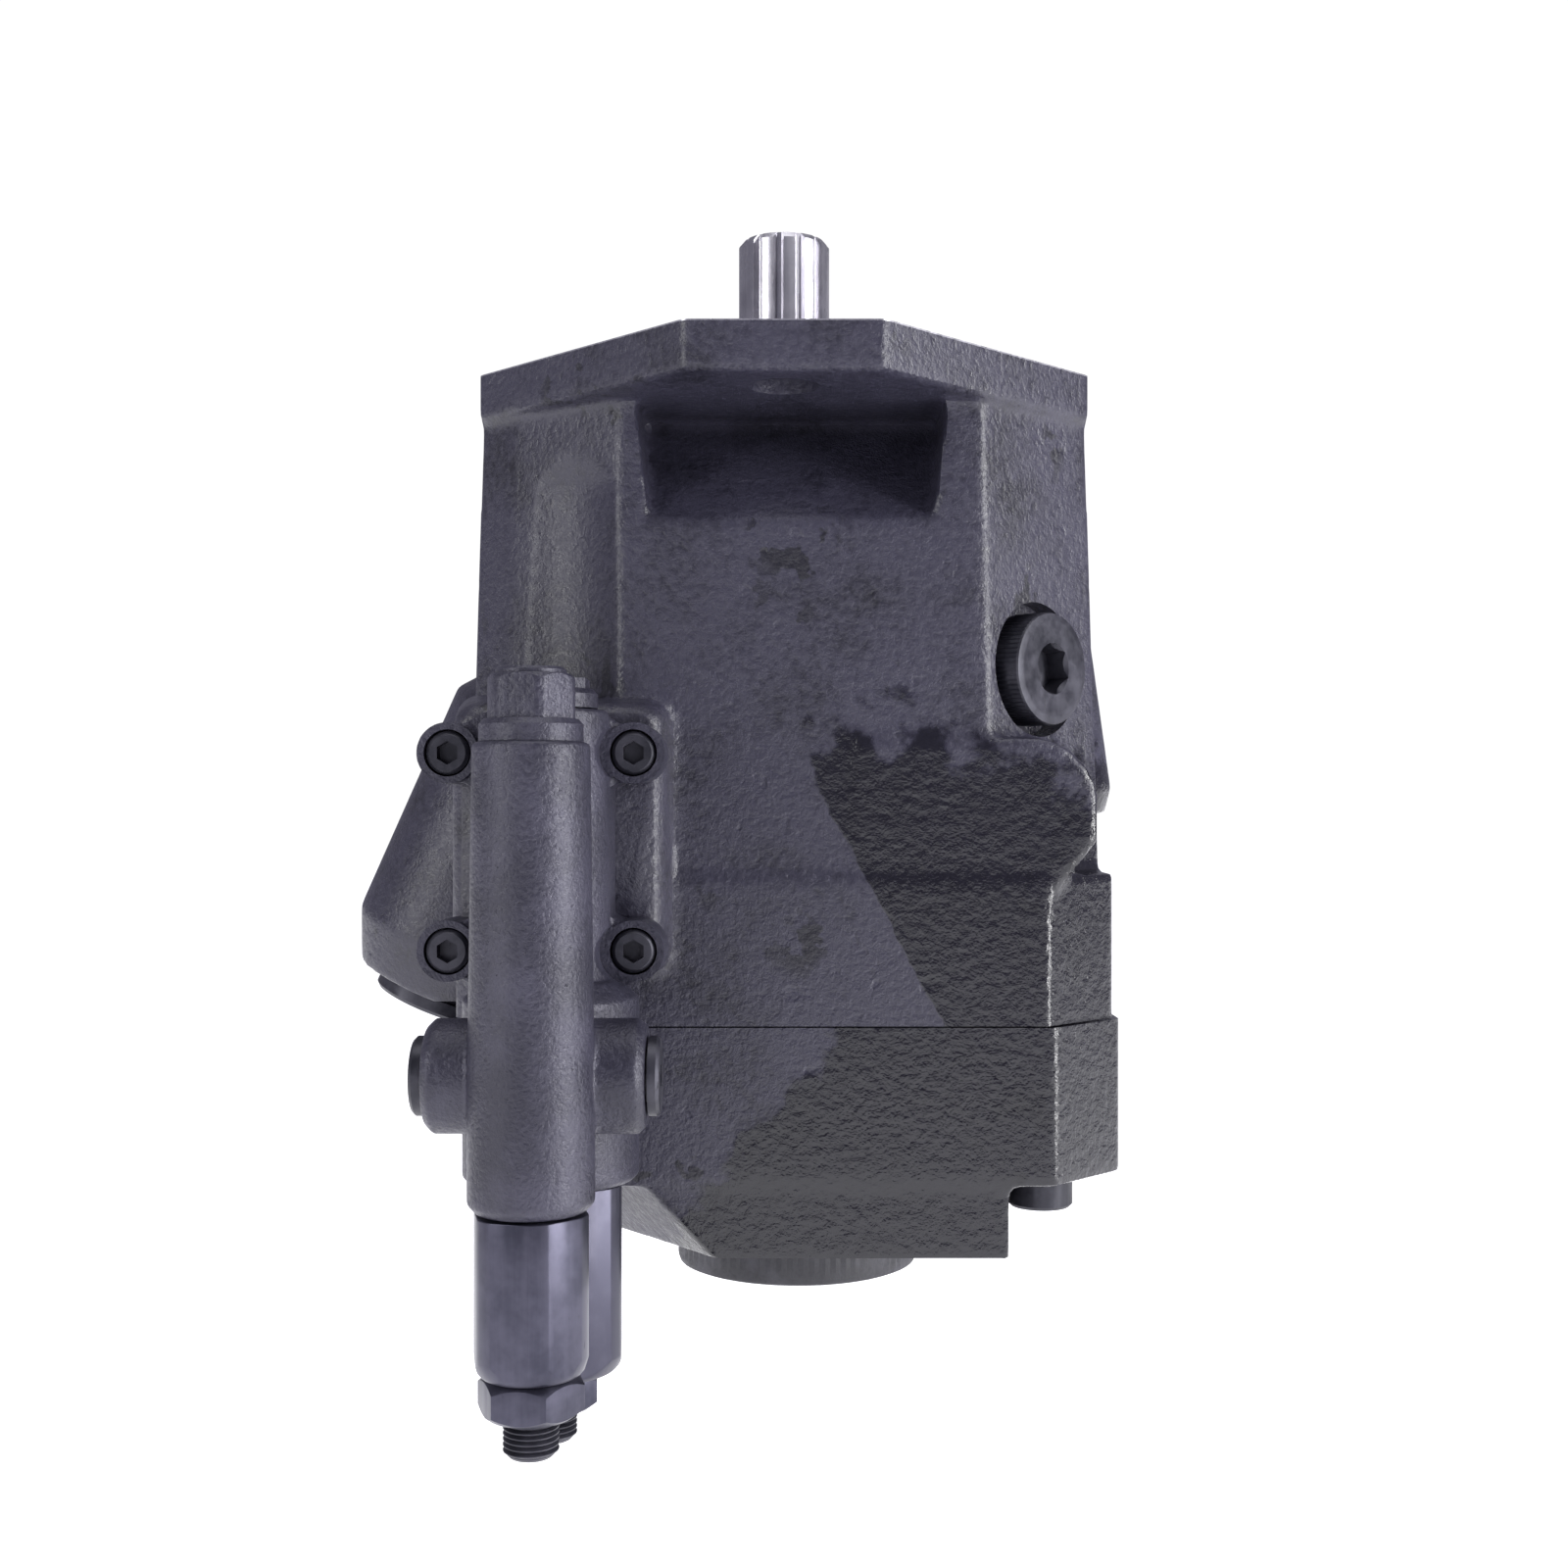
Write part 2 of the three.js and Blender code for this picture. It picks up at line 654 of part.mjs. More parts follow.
function piston(index) {
  const shoeTop = -swashFace - gap;
  const neck = shoeTop - shoeThickness;
  const profile = [
    [0, shoeTop - pistonLength - shoeThickness], [pistonRadius, shoeTop - pistonLength - shoeThickness],
    [pistonRadius, neck - 3.5], [4.5, neck - 2], [pistonRadius - 1, neck],
    [pistonRadius - 1, shoeTop - 2.5], [shoeRadius, shoeTop - 2.5], [shoeRadius, shoeTop], [0, shoeTop],
  ];
  const shape = turned(profile, 12).translate(pistonPitch, 0, 0).rotateZ(pistonAngle(index));
  addPiece(`piston_${index + 1}`, "steel", shape);
}

function guideRadius() {
  return pistonPitch - pistonRadius - 2;
}

function holdDown() {
  const top = -swashFace - gap - 2.5 - gap;
  const plate = ring(guideRadius() + 0.5, pistonPitch + shoeRadius, top - 2.2, top, 24);
  const holes = Array.from({ length: pistonCount }, (_, index) =>
    rod(pistonRadius + running, top - 4, top + 1, 12)
      .translate(pistonPitch, 0, 0)
      .rotateZ(pistonAngle(index)),
  );
  addPiece("retaining_plate", "steel", cut(plate, ...holes));
  const ballTop = top - 2.2 - gap;
  const inner = shaftRadius + 1;
  addPiece("guide_ball", "steel", turned([
    [inner, ballTop - 9], [guideRadius(), ballTop - 9], [guideRadius(), ballTop - 4],
    [guideRadius() - 1.5, ballTop], [inner, ballTop], [inner, ballTop - 9],
  ], 24));
  const springBottom = -barrelTop - springRecess + gap;
  const meanRadius = (guideRadius() + barrelSplineRadius) / 2;
  addPiece("barrel_spring", "steel", coil(meanRadius, 1.1, springBottom, ballTop - 9 - gap, 4));
}

function valvePlate() {
  const top = valvePlateBottom + valvePlateThickness;
  const disc = ring(barrelSplineRadius, barrelRadius, valvePlateBottom, top, 24);
  const kidneys = [-90, 90].map((centre) =>
    prism(kidneyOutline(centre), valvePlateBottom - 1, top + 1),
  );
  addPiece("valve_plate", "bronze", cut(disc, ...kidneys));
}

// ---- Swashplate and what tilts it ----

function swashplate() {
  const drum = rod(cradleRadius, -cradleHalfWidth, cradleHalfWidth, 40)
    .rotateX(Math.PI / 2)
    .translate(0, 0, pivotZ);
  const upright = rod(cavityRadius - 3, -swashFace, pivotZ + cradleRadius + 1, 40);
    const armTop = pivotZ + strokeArmTop;
  const strokeArm = join(
    block(-58, -20, -strokeArmHalf, strokeArmHalf, armTop - armThickness, armTop),
    block(-38, -swashSlotHalf - 1, -strokeArmHalf, strokeArmHalf, -swashFace, armTop),
  );
  const biasArm = block(
    swashSlotHalf + 1, 63, biasY - biasArmHalf, biasY + biasArmHalf,
    pivotZ + biasArmTop - armThickness, pivotZ + biasArmTop,
  );
  const shaftRoom = block(-swashSlotHalf, swashSlotHalf, -swashSlotWide, swashSlotWide, -swashFace - 1, -10);
  addPiece("swashplate", "steel", cut(join(common(drum, upright), strokeArm, biasArm), shaftRoom));
}

function cradleShell(name, side) {
  const inner = cradleRadius + gap;
  const shell = ring(inner, inner + shellThickness, trackInner, cradleHalfWidth, 40)
    .rotateX(Math.PI / 2)
    .translate(0, 0, pivotZ);
  const arc = block(-31, 31, -60, 60, pivotZ + 19, 0);
  const placed = common(shell, arc);
  addPiece(name, "bronze", side < 0 ? placed : placed.rotateZ(Math.PI));
}

function controlPistons() {
  const headTop = -26;
  addPiece("stroke_piston", "steel", onStrokeAxis(turned([
    [0, headTop - strokeLength + 14], [strokeRadius, headTop - strokeLength + 14],
    [strokeRadius, headTop], [6, headTop], [6, -8], [1.5, 0], [0, 0],
  ], 24)));
  addPiece("stroke_bore_plug", "black", onStrokeAxis(cut(
    turned([
      [0, -strokeBoreLength - 4], [strokePlugHead - 1, -strokeBoreLength - 4],
      [strokePlugHead, -strokeBoreLength - 3], [strokePlugHead, -strokeBoreLength - gap],
      [strokeRadius - 0.3, -strokeBoreLength - gap], [strokeRadius - 0.3, strokePlugStem - strokeBoreLength],
      [0, strokePlugStem - strokeBoreLength],
    ], 24),
    hexCutter(12, -strokeBoreLength - 6, -strokeBoreLength + 4),
  )));
  const biasTipZ = pivotZ + biasArmTop - armThickness - 0.5;
  const biasFoot = biasTipZ - biasLength;
  addPiece("bias_piston", "steel", turned([
    [0, biasFoot], [biasRadius, biasFoot], [biasRadius, biasTipZ - 8], [1.5, biasTipZ], [0, biasTipZ],
  ], 24).translate(biasX, biasY, 0));
  const plugTop = housingBottom + 8;
  const plug = rod(biasRadius, housingBottom + 1, plugTop, 24);
  addPiece("bias_bore_plug", "steel", plug.translate(biasX, biasY, 0));
  const spring = coil(biasRadius - 2.4, 1.3, plugTop + gap, biasFoot - gap, 5);
  addPiece("bias_spring", "steel", spring.translate(biasX, biasY, 0));
}

// ---- Control valve ----

function valveScrewPlaces() {
  return valveScrewZ.flatMap((z) => [-1, 1].map((side) => [valveScrewX + side * valveScrewHalfX, z]));
}

function controlValveBody() {
  const back = padFace + gap;
  const earFront = back + valveEarThickness;
  const ears = valveScrewPlaces().map(([x, z]) =>
    facingFront(rod(earRadius, back, earFront, 24)).translate(x, 0, z),
  );
  const wings = valveScrewZ.flatMap((z) => [-1, 1].map((side) => {
    const tipX = valveScrewX + side * valveScrewHalfX;
    const outline = [
      [valveX, z - 14], [tipX, z - earRadius + 1], [tipX, z + earRadius - 1], [valveX, z + 14],
    ];
    return facingFront(prism(side > 0 ? outline : outline.reverse(), back, earFront));
  }));
  const span = (radius) => [valveX - radius, valveX + radius];
  const core = block(
    ...span(pressureColumnRadius - 1), pressureColumnY, -back, springHousingTop - 5, valveTop + 6,
  );
  const web = block(...span(6), flowY, pressureColumnY, valveBottom, valveTop);
  const upright = (radius, bottom, top, y) => rod(radius, bottom, top, 30).translate(valveX, y, 0);
  const crossBoss = rod(crossRadius, -crossHalf, crossHalf, 24)
    .rotateY(Math.PI / 2)
    .translate(valveX, crossY, crossZ);
  const body = cut(
    join(
      ...ears, ...wings, core, web, crossBoss,
      upright(flowColumnRadius, valveBottom, valveTop, flowY),
      upright(pressureColumnRadius, springHousingTop - 1, pressureTop, pressureColumnY),
      upright(springHousingRadius, valveBottom, springHousingTop, pressureColumnY),
    ),
    block(-100, 0, -back, 0, -200, -50),
    block(-100, 0, -200, 0, pressureTop, 0),
  );
  const counterboreFloor = earFront - counterboreDepth;
  const holes = valveScrewPlaces().flatMap(([x, z]) => [
    facingFront(rod(valveScrewShank + gap, back - 1, earFront + 1, 12)).translate(x, 0, z),
    facingFront(rod(valveScrewRadius + gap, counterboreFloor, earFront + 1, 24)).translate(x, 0, z),
  ]);
  const bores = [
    rod(flowBore, valveBottom - 1, valveTop + 1, 24).translate(valveX, flowY, 0),
    rod(pressureBore, valveBottom - 1, pressureTop + 1, 24).translate(valveX, pressureColumnY, 0),
    rod(crossBore, -crossHalf - 1, crossHalf + 1, 12).rotateY(Math.PI / 2).translate(valveX, crossY, crossZ),
  ];
  addPiece("control_valve_body", "valvePaint", cut(body, ...holes, ...bores));
  valveScrewPlaces().forEach(([x, z], index) => {
    const headUnder = counterboreFloor + gap;
    const length = headUnder - padFace + valveScrewGrip;
    const screw = capScrew(valveScrewRadius, valveScrewHeadHeight, valveScrewShank, length, valveScrewSocket);
    facingFront(screw.translate(0, 0, headUnder));
    addPiece(`valve_screw_${index + 1}`, "black", screw.translate(x, 0, z));
  });
}

// The plugs that close the two ends of the cross bore.
function crossPlugs() {
  const plug = turned([
    [0, 0.3 - 10], [crossBore - gap, 0.3 - 10], [crossBore - gap, 0.3], [crossPlugRadius, 0.3],
    [crossPlugRadius, 1.8], [crossPlugRadius - 0.6, 2.4], [0, 2.4],
  ], 24);
  const right = cut(plug, hexCutter(4, 0.6, 3)).rotateY(Math.PI / 2).translate(crossHalf, 0, 0);
  const left = right.clone().rotateZ(Math.PI);
  addPiece("cross_plug_right", "black", right.translate(valveX, crossY, crossZ));
  addPiece("cross_plug_left", "black", left.translate(valveX, crossY, crossZ));
}

// A hexagon-headed plug in the top of a spool bore.
function borePlug(name, x, y, seat, bore, flats, headHeight) {
  const corner = flats / Math.sqrt(3);
  const round = turned([
    [0, 4], [corner - 0.8, 4], [corner - 0.8, 3 + headHeight], [corner - 2.5, 4 + headHeight],
    [0, 4 + headHeight],
  ], 24);
  const head = common(prism(hexOutline(flats), 4, 4 + headHeight), round);
  const stem = turned([
    [0, -6], [bore - gap, -6], [bore - gap, 0.3], [corner + 1, 0.3], [corner + 1, 3.2],
    [corner, 4.1], [0, 4.1],
  ], 24);
  addPiece(name, "valvePaint", join(stem, head).translate(x, y, seat));
}

// Spool, spring, seat, sleeve, lock nut and adjusting screw in one column, from the top down.
function adjuster({ kind, y, bore, flats, length, springBore, screwBelow }) {
  const at = (geometry) => geometry.translate(valveX, y, 0);
  const sleeveTop = valveBottom - gap;
  const sleeveBottom = sleeveTop - length;
  const nutTop = sleeveBottom - gap;
  const land = bore - running;
  const waist = land * 0.6;
  const top = valveTop - 10;
  addPiece(`${kind}_spool`, "steel", at(turned([
    [0, valveBottom - 1], [land, valveBottom - 1], [land, valveBottom + 18], [waist, valveBottom + 19],
    [waist, valveBottom + 32], [land, valveBottom + 33], [land, top - 20], [waist, top - 19],
    [waist, top - 8], [land, top - 7], [land, top], [0, top],
  ], 12)));
  const seatTop = sleeveBottom + sleeveFloor + screwTravel + 4;
  const seatRadius = springBore - running;
  const springTop = valveBottom - 1 - gap;
  const wireRadius = seatRadius * 0.18;
  const spring = coil(seatRadius - wireRadius - running, wireRadius, seatTop + gap, springTop, 5);
  addPiece(`${kind}_spring`, "steel", at(spring));
  addPiece(`${kind}_spring_seat`, "steel", at(turned([
    [0, seatTop - 3], [seatRadius, seatTop - 3], [seatRadius, seatTop], [0, seatTop],
  ], 24)));
  const screwHole = adjusterRadius + running;
  const sleeve = hexSleeve(flats, sleeveTop, length, springBore, sleeveFloor, screwHole);
  addPiece(`${kind}_spring_sleeve`, "satin", at(sleeve));
  addPiece(`${kind}_lock_nut`, "satin", at(hexNut(lockNutFlats, nutTop, lockNutHeight, screwHole)));
  const screwTop = seatTop - 3 - gap;
  const screwBottom = nutTop - lockNutHeight - screwBelow;
  const screw = turned([
    [0, screwBottom], [adjusterRadius - 1, screwBottom], [adjusterRadius, screwBottom + 1],
    [adjusterRadius, screwTop],
    [0, screwTop],
  ], 24);
  const socket = hexCutter(adjusterSocket, screwBottom - 1, screwBottom + 4);
  addPiece(`${kind}_adjusting_screw`, "black", at(cut(screw, socket)));
}

housing();
portPlate();
portPlug("suction_plug", suctionRadius, 27.2, suctionY);
portPlug("pressure_plug", pressureRadius, 19, pressureY);
drainPlug();
driveShaft();
taperBearing("front", bearingSeat, frontBearingRadius, frontBearingBottom, -frontBearingTop - gap, "up");
taperBearing("rear", rearSeat, rearBearingRadius, rearBearingBottom + gap, portFace - 2, "down");
shaftSeal();
cylinderBarrel();
for (let index = 0; index < pistonCount; index += 1) {
  piston(index);
}
holdDown();
valvePlate();
swashplate();
cradleShell("cradle_shell_front", -1);
cradleShell("cradle_shell_back", 1);
controlPistons();
controlValveBody();
crossPlugs();
borePlug("flow_bore_plug", valveX, flowY, valveTop, flowBore, 16.5, 8);
borePlug("pressure_bore_plug", valveX, pressureColumnY, pressureTop, pressureBore, 14, 2);
adjuster(flowAdjuster);
adjuster(pressureAdjuster);

export default pump;
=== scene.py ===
import math

import bpy
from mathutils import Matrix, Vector


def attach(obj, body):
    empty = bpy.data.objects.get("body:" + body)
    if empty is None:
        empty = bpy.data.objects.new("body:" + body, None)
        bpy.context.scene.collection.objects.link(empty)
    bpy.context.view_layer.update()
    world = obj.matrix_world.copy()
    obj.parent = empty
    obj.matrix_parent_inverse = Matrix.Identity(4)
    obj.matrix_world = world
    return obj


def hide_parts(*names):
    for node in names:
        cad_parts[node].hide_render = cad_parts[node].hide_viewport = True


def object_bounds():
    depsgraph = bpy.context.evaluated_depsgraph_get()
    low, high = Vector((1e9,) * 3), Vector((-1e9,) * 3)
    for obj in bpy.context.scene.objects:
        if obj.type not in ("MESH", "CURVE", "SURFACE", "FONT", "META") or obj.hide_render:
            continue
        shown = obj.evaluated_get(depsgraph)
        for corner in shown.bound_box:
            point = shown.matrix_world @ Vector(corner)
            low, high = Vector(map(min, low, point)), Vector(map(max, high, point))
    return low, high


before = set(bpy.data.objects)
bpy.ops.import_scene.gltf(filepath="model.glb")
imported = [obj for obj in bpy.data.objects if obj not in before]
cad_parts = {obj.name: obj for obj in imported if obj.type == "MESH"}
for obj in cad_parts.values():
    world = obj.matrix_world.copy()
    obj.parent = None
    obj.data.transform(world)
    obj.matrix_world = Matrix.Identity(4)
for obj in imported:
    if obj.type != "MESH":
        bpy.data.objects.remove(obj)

mm = 0.001
cadBox = [list(corner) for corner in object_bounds()]
print("frame loaded:", len(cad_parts), "nodes")


# ways of working on one object

def clearSelection():
    bpy.ops.object.select_all(action='DESELECT')


def pick(piece):
    clearSelection()
    piece.select_set(True)
    bpy.context.view_layer.objects.active = piece


def takeNew(name):
    piece = bpy.context.object
    piece.name = name
    piece.data.name = name
    return piece


def settle(piece):  # the place goes into the mesh
    pick(piece)
    bpy.ops.object.transform_apply(location=True, rotation=True, scale=True)
    return piece


def shift(piece, x=0, y=0, z=0, turnX=0, turnY=0, turnZ=0):  # mm and degrees, turned first
    piece.rotation_euler = [math.radians(angle) for angle in (turnX, turnY, turnZ)]
    piece.location = (x * mm, y * mm, z * mm)
    return settle(piece)


def copyOf(piece, name):
    twin = piece.copy()
    twin.data = piece.data.copy()
    twin.name = name
    twin.data.name = name
    bpy.context.collection.objects.link(twin)
    return twin


def applyAll(piece):
    pick(piece)
    for modifier in list(piece.modifiers):
        bpy.ops.object.modifier_apply(modifier=modifier.name)
    return piece


def combine(piece, tool, operation):
    modifier = piece.modifiers.new(operation, 'BOOLEAN')
    modifier.operation = operation
    modifier.solver = 'MANIFOLD'
    modifier.object = tool
    applyAll(piece)
    bpy.data.objects.remove(tool)
    return piece


def weld(piece, *tools):
    for tool in tools:
        combine(piece, tool, 'UNION')
    return piece


def carve(piece, *tools):
    for tool in tools:
        combine(piece, tool, 'DIFFERENCE')
    return piece


def soften(piece, width, segments=3, angle=30):
    modifier = piece.modifiers.new("edges", 'BEVEL')
    modifier.width = width * mm
    modifier.segments = segments
    modifier.limit_method = 'ANGLE'
    modifier.angle_limit = math.radians(angle)
    return applyAll(piece)


def smoothFaces(piece, angle):
    pick(piece)
    bpy.ops.object.shade_smooth_by_angle(angle=math.radians(angle))
    return piece


def chooseNone(piece):  # nothing in the mesh stays selected
    pick(piece)
    bpy.ops.object.mode_set(mode='EDIT')
    bpy.ops.mesh.select_all(action='DESELECT')
    bpy.ops.object.mode_set(mode='OBJECT')


def resizeChosen(size, centre):
    bpy.ops.object.mode_set(mode='EDIT')
    bpy.ops.transform.resize(value=size, center_override=centre)
    bpy.ops.object.mode_set(mode='OBJECT')


# starting shapes, in mm

def block(name, low, high):
    clearSelection()
    centre = [(a + b) / 2 * mm for a, b in zip(low, high)]
    size = [(b - a) * mm for a, b in zip(low, high)]
    bpy.ops.mesh.primitive_cube_add(size=1, location=centre, scale=size)
    return settle(takeNew(name))


def sliceOff(piece, point, normal):  # takes away what lies on the normal's side
    pick(piece)
    bpy.ops.object.mode_set(mode='EDIT')
    bpy.ops.mesh.select_all(action='SELECT')
    at = [value * mm for value in point]
    bpy.ops.mesh.bisect(plane_co=at, plane_no=normal, use_fill=True, clear_outer=True)
    bpy.ops.object.mode_set(mode='OBJECT')
    return piece


def turned(name, profile, sides=64):  # a disc drawn up along Z through each (radius, height)
    clearSelection()
    radius, height = profile[0]
    bpy.ops.mesh.primitive_circle_add(
        vertices=sides, radius=radius * mm, fill_type='NGON', location=(0, 0, height * mm))
    piece = settle(takeNew(name))
    bpy.ops.object.mode_set(mode='EDIT')
    bpy.ops.mesh.select_all(action='SELECT')
    for (fromRadius, fromHeight), (radius, height) in zip(profile, profile[1:]):
        step = {"value": (0, 0, (height - fromHeight) * mm)}
        bpy.ops.mesh.extrude_region_move(TRANSFORM_OT_translate=step)
        grow = radius / fromRadius
        bpy.ops.transform.resize(value=(grow, grow, 1), center_override=(0, 0, height * mm))
    bpy.ops.mesh.select_all(action='SELECT')
    bpy.ops.mesh.normals_make_consistent(inside=False)
    bpy.ops.object.mode_set(mode='OBJECT')
    return piece


def rod(name, radius, low, high, sides=48):
    return turned(name, [(radius, low), (radius, high)], sides)


def hexBar(name, flats, low, high, turn=0):
    corner = flats / math.sqrt(3)
    return shift(turned(name, [(corner, low), (corner, high)], 6), turnZ=turn)


def leaningBox(name, low, high, draft):  # a block whose -Y face is drawn in by the draft
    piece = block(name, low, high)
    chooseNone(piece)
    for face in piece.data.polygons:
        face.select = face.normal.y < -0.9
    wide, tall = high[0] - low[0], high[2] - low[2]
    centre = ((low[0] + high[0]) / 2 * mm, low[1] * mm, (low[2] + high[2]) / 2 * mm)
    resizeChosen((1 - 2 * draft / wide, 1, 1 - 2 * draft / tall), centre)
    return piece


def castSkin(piece, voxel, rounds):  # melts the joins together like poured metal
    pick(piece)
    piece.data.remesh_voxel_size = voxel * mm
    bpy.ops.object.voxel_remesh()
    modifier = piece.modifiers.new("fillets", 'SMOOTH')
    modifier.factor = 0.5
    modifier.iterations = rounds
    return applyAll(piece)


def place(piece, name, body, slot, material, *nodes):
    piece.name = name
    piece.data.name = name
    piece.data.materials.clear()
    piece.data.materials.append(material)
    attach(piece, body)
    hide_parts(*nodes)


# material nodes

class Wire:
    def __init__(self, recipe, socket):
        self.recipe = recipe
        self.socket = socket

    def maths(self, operation, first, second):
        settings = {"operation": operation}
        return self.recipe.add("ShaderNodeMath", settings, {0: first, 1: second}).wire()

    def __add__(self, other):
        return self.maths('ADD', self, other)

    def __radd__(self, other):
        return self.maths('ADD', other, self)

    def __sub__(self, other):
        return self.maths('SUBTRACT', self, other)

    def __rsub__(self, other):
        return self.maths('SUBTRACT', other, self)

    def __mul__(self, other):
        return self.maths('MULTIPLY', self, other)

    def __rmul__(self, other):
        return self.maths('MULTIPLY', other, self)

    def __gt__(self, other):
        return self.maths('GREATER_THAN', self, other)


class Made:
    def __init__(self, recipe, node):
        self.recipe = recipe
        self.node = node

    def wire(self, name=0):
        return Wire(self.recipe, self.node.outputs[name])


class Recipe:
    def __init__(self, name):
        self.material = bpy.data.materials.new(name)
        self.material.use_nodes = True
        self.tree = self.material.node_tree
        self.tree.nodes.clear()
        self.place = self.add("ShaderNodeTexCoord").wire("Object")

    def add(self, kind, settings=None, inputs=None):
        node = self.tree.nodes.new(kind)
        for key, value in (settings or {}).items():
            setattr(node, key, value)
        for key, value in (inputs or {}).items():
            if isinstance(value, Wire):
                self.tree.links.new(value.socket, node.inputs[key])
            else:
                node.inputs[key].default_value = value
        return Made(self, node)

    def noise(self, scale, detail=4, roughness=0.55, at=None):
        inputs = {"Vector": at or self.place, "Scale": scale, "Detail": detail, "Roughness": roughness}
        return self.add("ShaderNodeTexNoise", None, inputs).wire("Fac")

    def stretched(self, size):
        return self.add("ShaderNodeMapping", None, {"Vector": self.place, "Scale": size}).wire()

    def axis(self, name):
        return self.add("ShaderNodeSeparateXYZ", None, {0: self.place}).wire(name)

    def band(self, value, low, high, start=0.0, end=1.0):
        inputs = {"Value": value, "From Min": low, "From Max": high, "To Min": start, "To Max": end}
        return self.add("ShaderNodeMapRange", {"interpolation_type": 'SMOOTHSTEP'}, inputs).wire()

    def blend(self, factor, first, second):
        sides = [colour if isinstance(colour, Wire) else (*colour, 1) for colour in (first, second)]
        return self.add("ShaderNodeMix", {"data_type": 'RGBA'}, {0: factor, 6: sides[0], 7: sides[1]}).wire(2)

    def bump(self, height, distance, under=None):
        inputs = {"Height": height, "Distance": distance, "Strength": 1.0}
        if under:
            inputs["Normal"] = under
        return self.add("ShaderNodeBump", None, inputs).wire()

    def finish(self, **inputs):
        named = {key.replace("_", " "): value for key, value in inputs.items()}
        shader = self.add("ShaderNodeBsdfPrincipled", None, named)
        self.add("ShaderNodeOutputMaterial", None, {"Surface": shader.wire()})
        return self.material


# camera, floor and light

stage = {
    "cameraBack": 440, "cameraHeight": -93.7, "lens": 41.8, "lift": 0.0113,
    "floorDrop": 42, "floorSize": 9000, "floorGlow": 1.15,
    "roomTint": (0.84, 0.82, 1.0), "roomLight": 0.28, "backdrop": 1.05,
}

lamps = {  # place, size and power of each
    "rightBox": ((600, -330, 40), (150, 620), 6.6),
    "leftBox": ((-640, -540, 160), (160, 460), 3),
    "topBox": ((0, -150, 700), (700, 500), 3),
}


def makeCamera():
    eye = (0, -stage["cameraBack"] * mm, stage["cameraHeight"] * mm)
    bpy.ops.object.camera_add(location=eye, rotation=(math.radians(90), 0, 0))
    camera = takeNew("camera")
    camera.data.lens = stage["lens"]
    camera.data.sensor_width = 36
    camera.data.shift_y = stage["lift"]
    camera.data.clip_start = 0.01
    bpy.context.scene.camera = camera


def makeFloor():
    height = cadBox[0][2] - stage["floorDrop"] * mm
    bpy.ops.mesh.primitive_plane_add(size=stage["floorSize"] * mm, location=(0, 0, height))
    floor = takeNew("floor")
    recipe = Recipe("paleFloor")
    tone = recipe.blend(recipe.noise(40), (0.86, 0.86, 0.87), (0.9, 0.9, 0.91))
    floor.data.materials.append(recipe.finish(
        Base_Color=tone, Roughness=0.8, Emission_Color=tone, Emission_Strength=stage["floorGlow"]))


def makeRoom():  # a soft tinted light all round, seen by the camera as white
    world = bpy.data.worlds.new("studio")
    bpy.context.scene.world = world
    world.use_nodes = True
    tree = world.node_tree
    tree.nodes["Background"].inputs["Color"].default_value = (*stage["roomTint"], 1)
    tree.nodes["Background"].inputs["Strength"].default_value = stage["roomLight"]
    backdrop = tree.nodes.new("ShaderNodeBackground")
    backdrop.inputs["Color"].default_value = (1, 1, 1, 1)
    backdrop.inputs["Strength"].default_value = stage["backdrop"]
    seen = tree.nodes.new("ShaderNodeLightPath")
    choice = tree.nodes.new("ShaderNodeMixShader")
    tree.links.new(seen.outputs["Is Camera Ray"], choice.inputs[0])
    tree.links.new(tree.nodes["Background"].outputs[0], choice.inputs[1])
    tree.links.new(backdrop.outputs[0], choice.inputs[2])
    tree.links.new(choice.outputs[0], tree.nodes["World Output"].inputs["Surface"])


def softBox(name, at, size, power):  # aims at the middle of the pump
    spot = Vector(at) * mm
    target = Vector((0, 0, stage["cameraHeight"] * mm))
    aim = (target - spot).to_track_quat('-Z', 'Y').to_euler()
    bpy.ops.object.light_add(type='AREA', location=spot, rotation=aim)
    lamp = takeNew(name)
    lamp.data.shape = 'RECTANGLE'
    lamp.data.size = size[0] * mm
    lamp.data.size_y = size[1] * mm
    lamp.data.energy = power


makeCamera()
makeFloor()
makeRoom()
for name, (at, size, power) in lamps.items():
    softBox(name, at, size, power)
bpy.context.scene.view_settings.view_transform = 'Standard'
print("stage made")


# finishes

paint = {
    "deep": (0.004, 0.0037, 0.007), "dusty": (0.029, 0.0274, 0.0445), "bare": (0.5, 0.49, 0.54),
    "grain": 620, "grainDepth": 0.00042, "wetDepth": 0.00038, "jointHeight": 0.1402,
}


def wetArea(recipe):  # where the paint ran thick: low on the right, to a slanting edge
    low = recipe.axis("Z")
    right = recipe.axis("X")
    above = recipe.band(right + low * 0.53, -0.044, -0.038) * recipe.band(low * -1, 0.045, 0.125)
    below = recipe.band(right - low * 0.79, 0.105, 0.14)
    under = (low * -1) > paint["jointHeight"]
    broad = recipe.noise(60, 4, 0.6)
    return recipe.band(above * (1 - under) + below * under + (broad - 0.5) * 1.3, 0.42, 0.56)


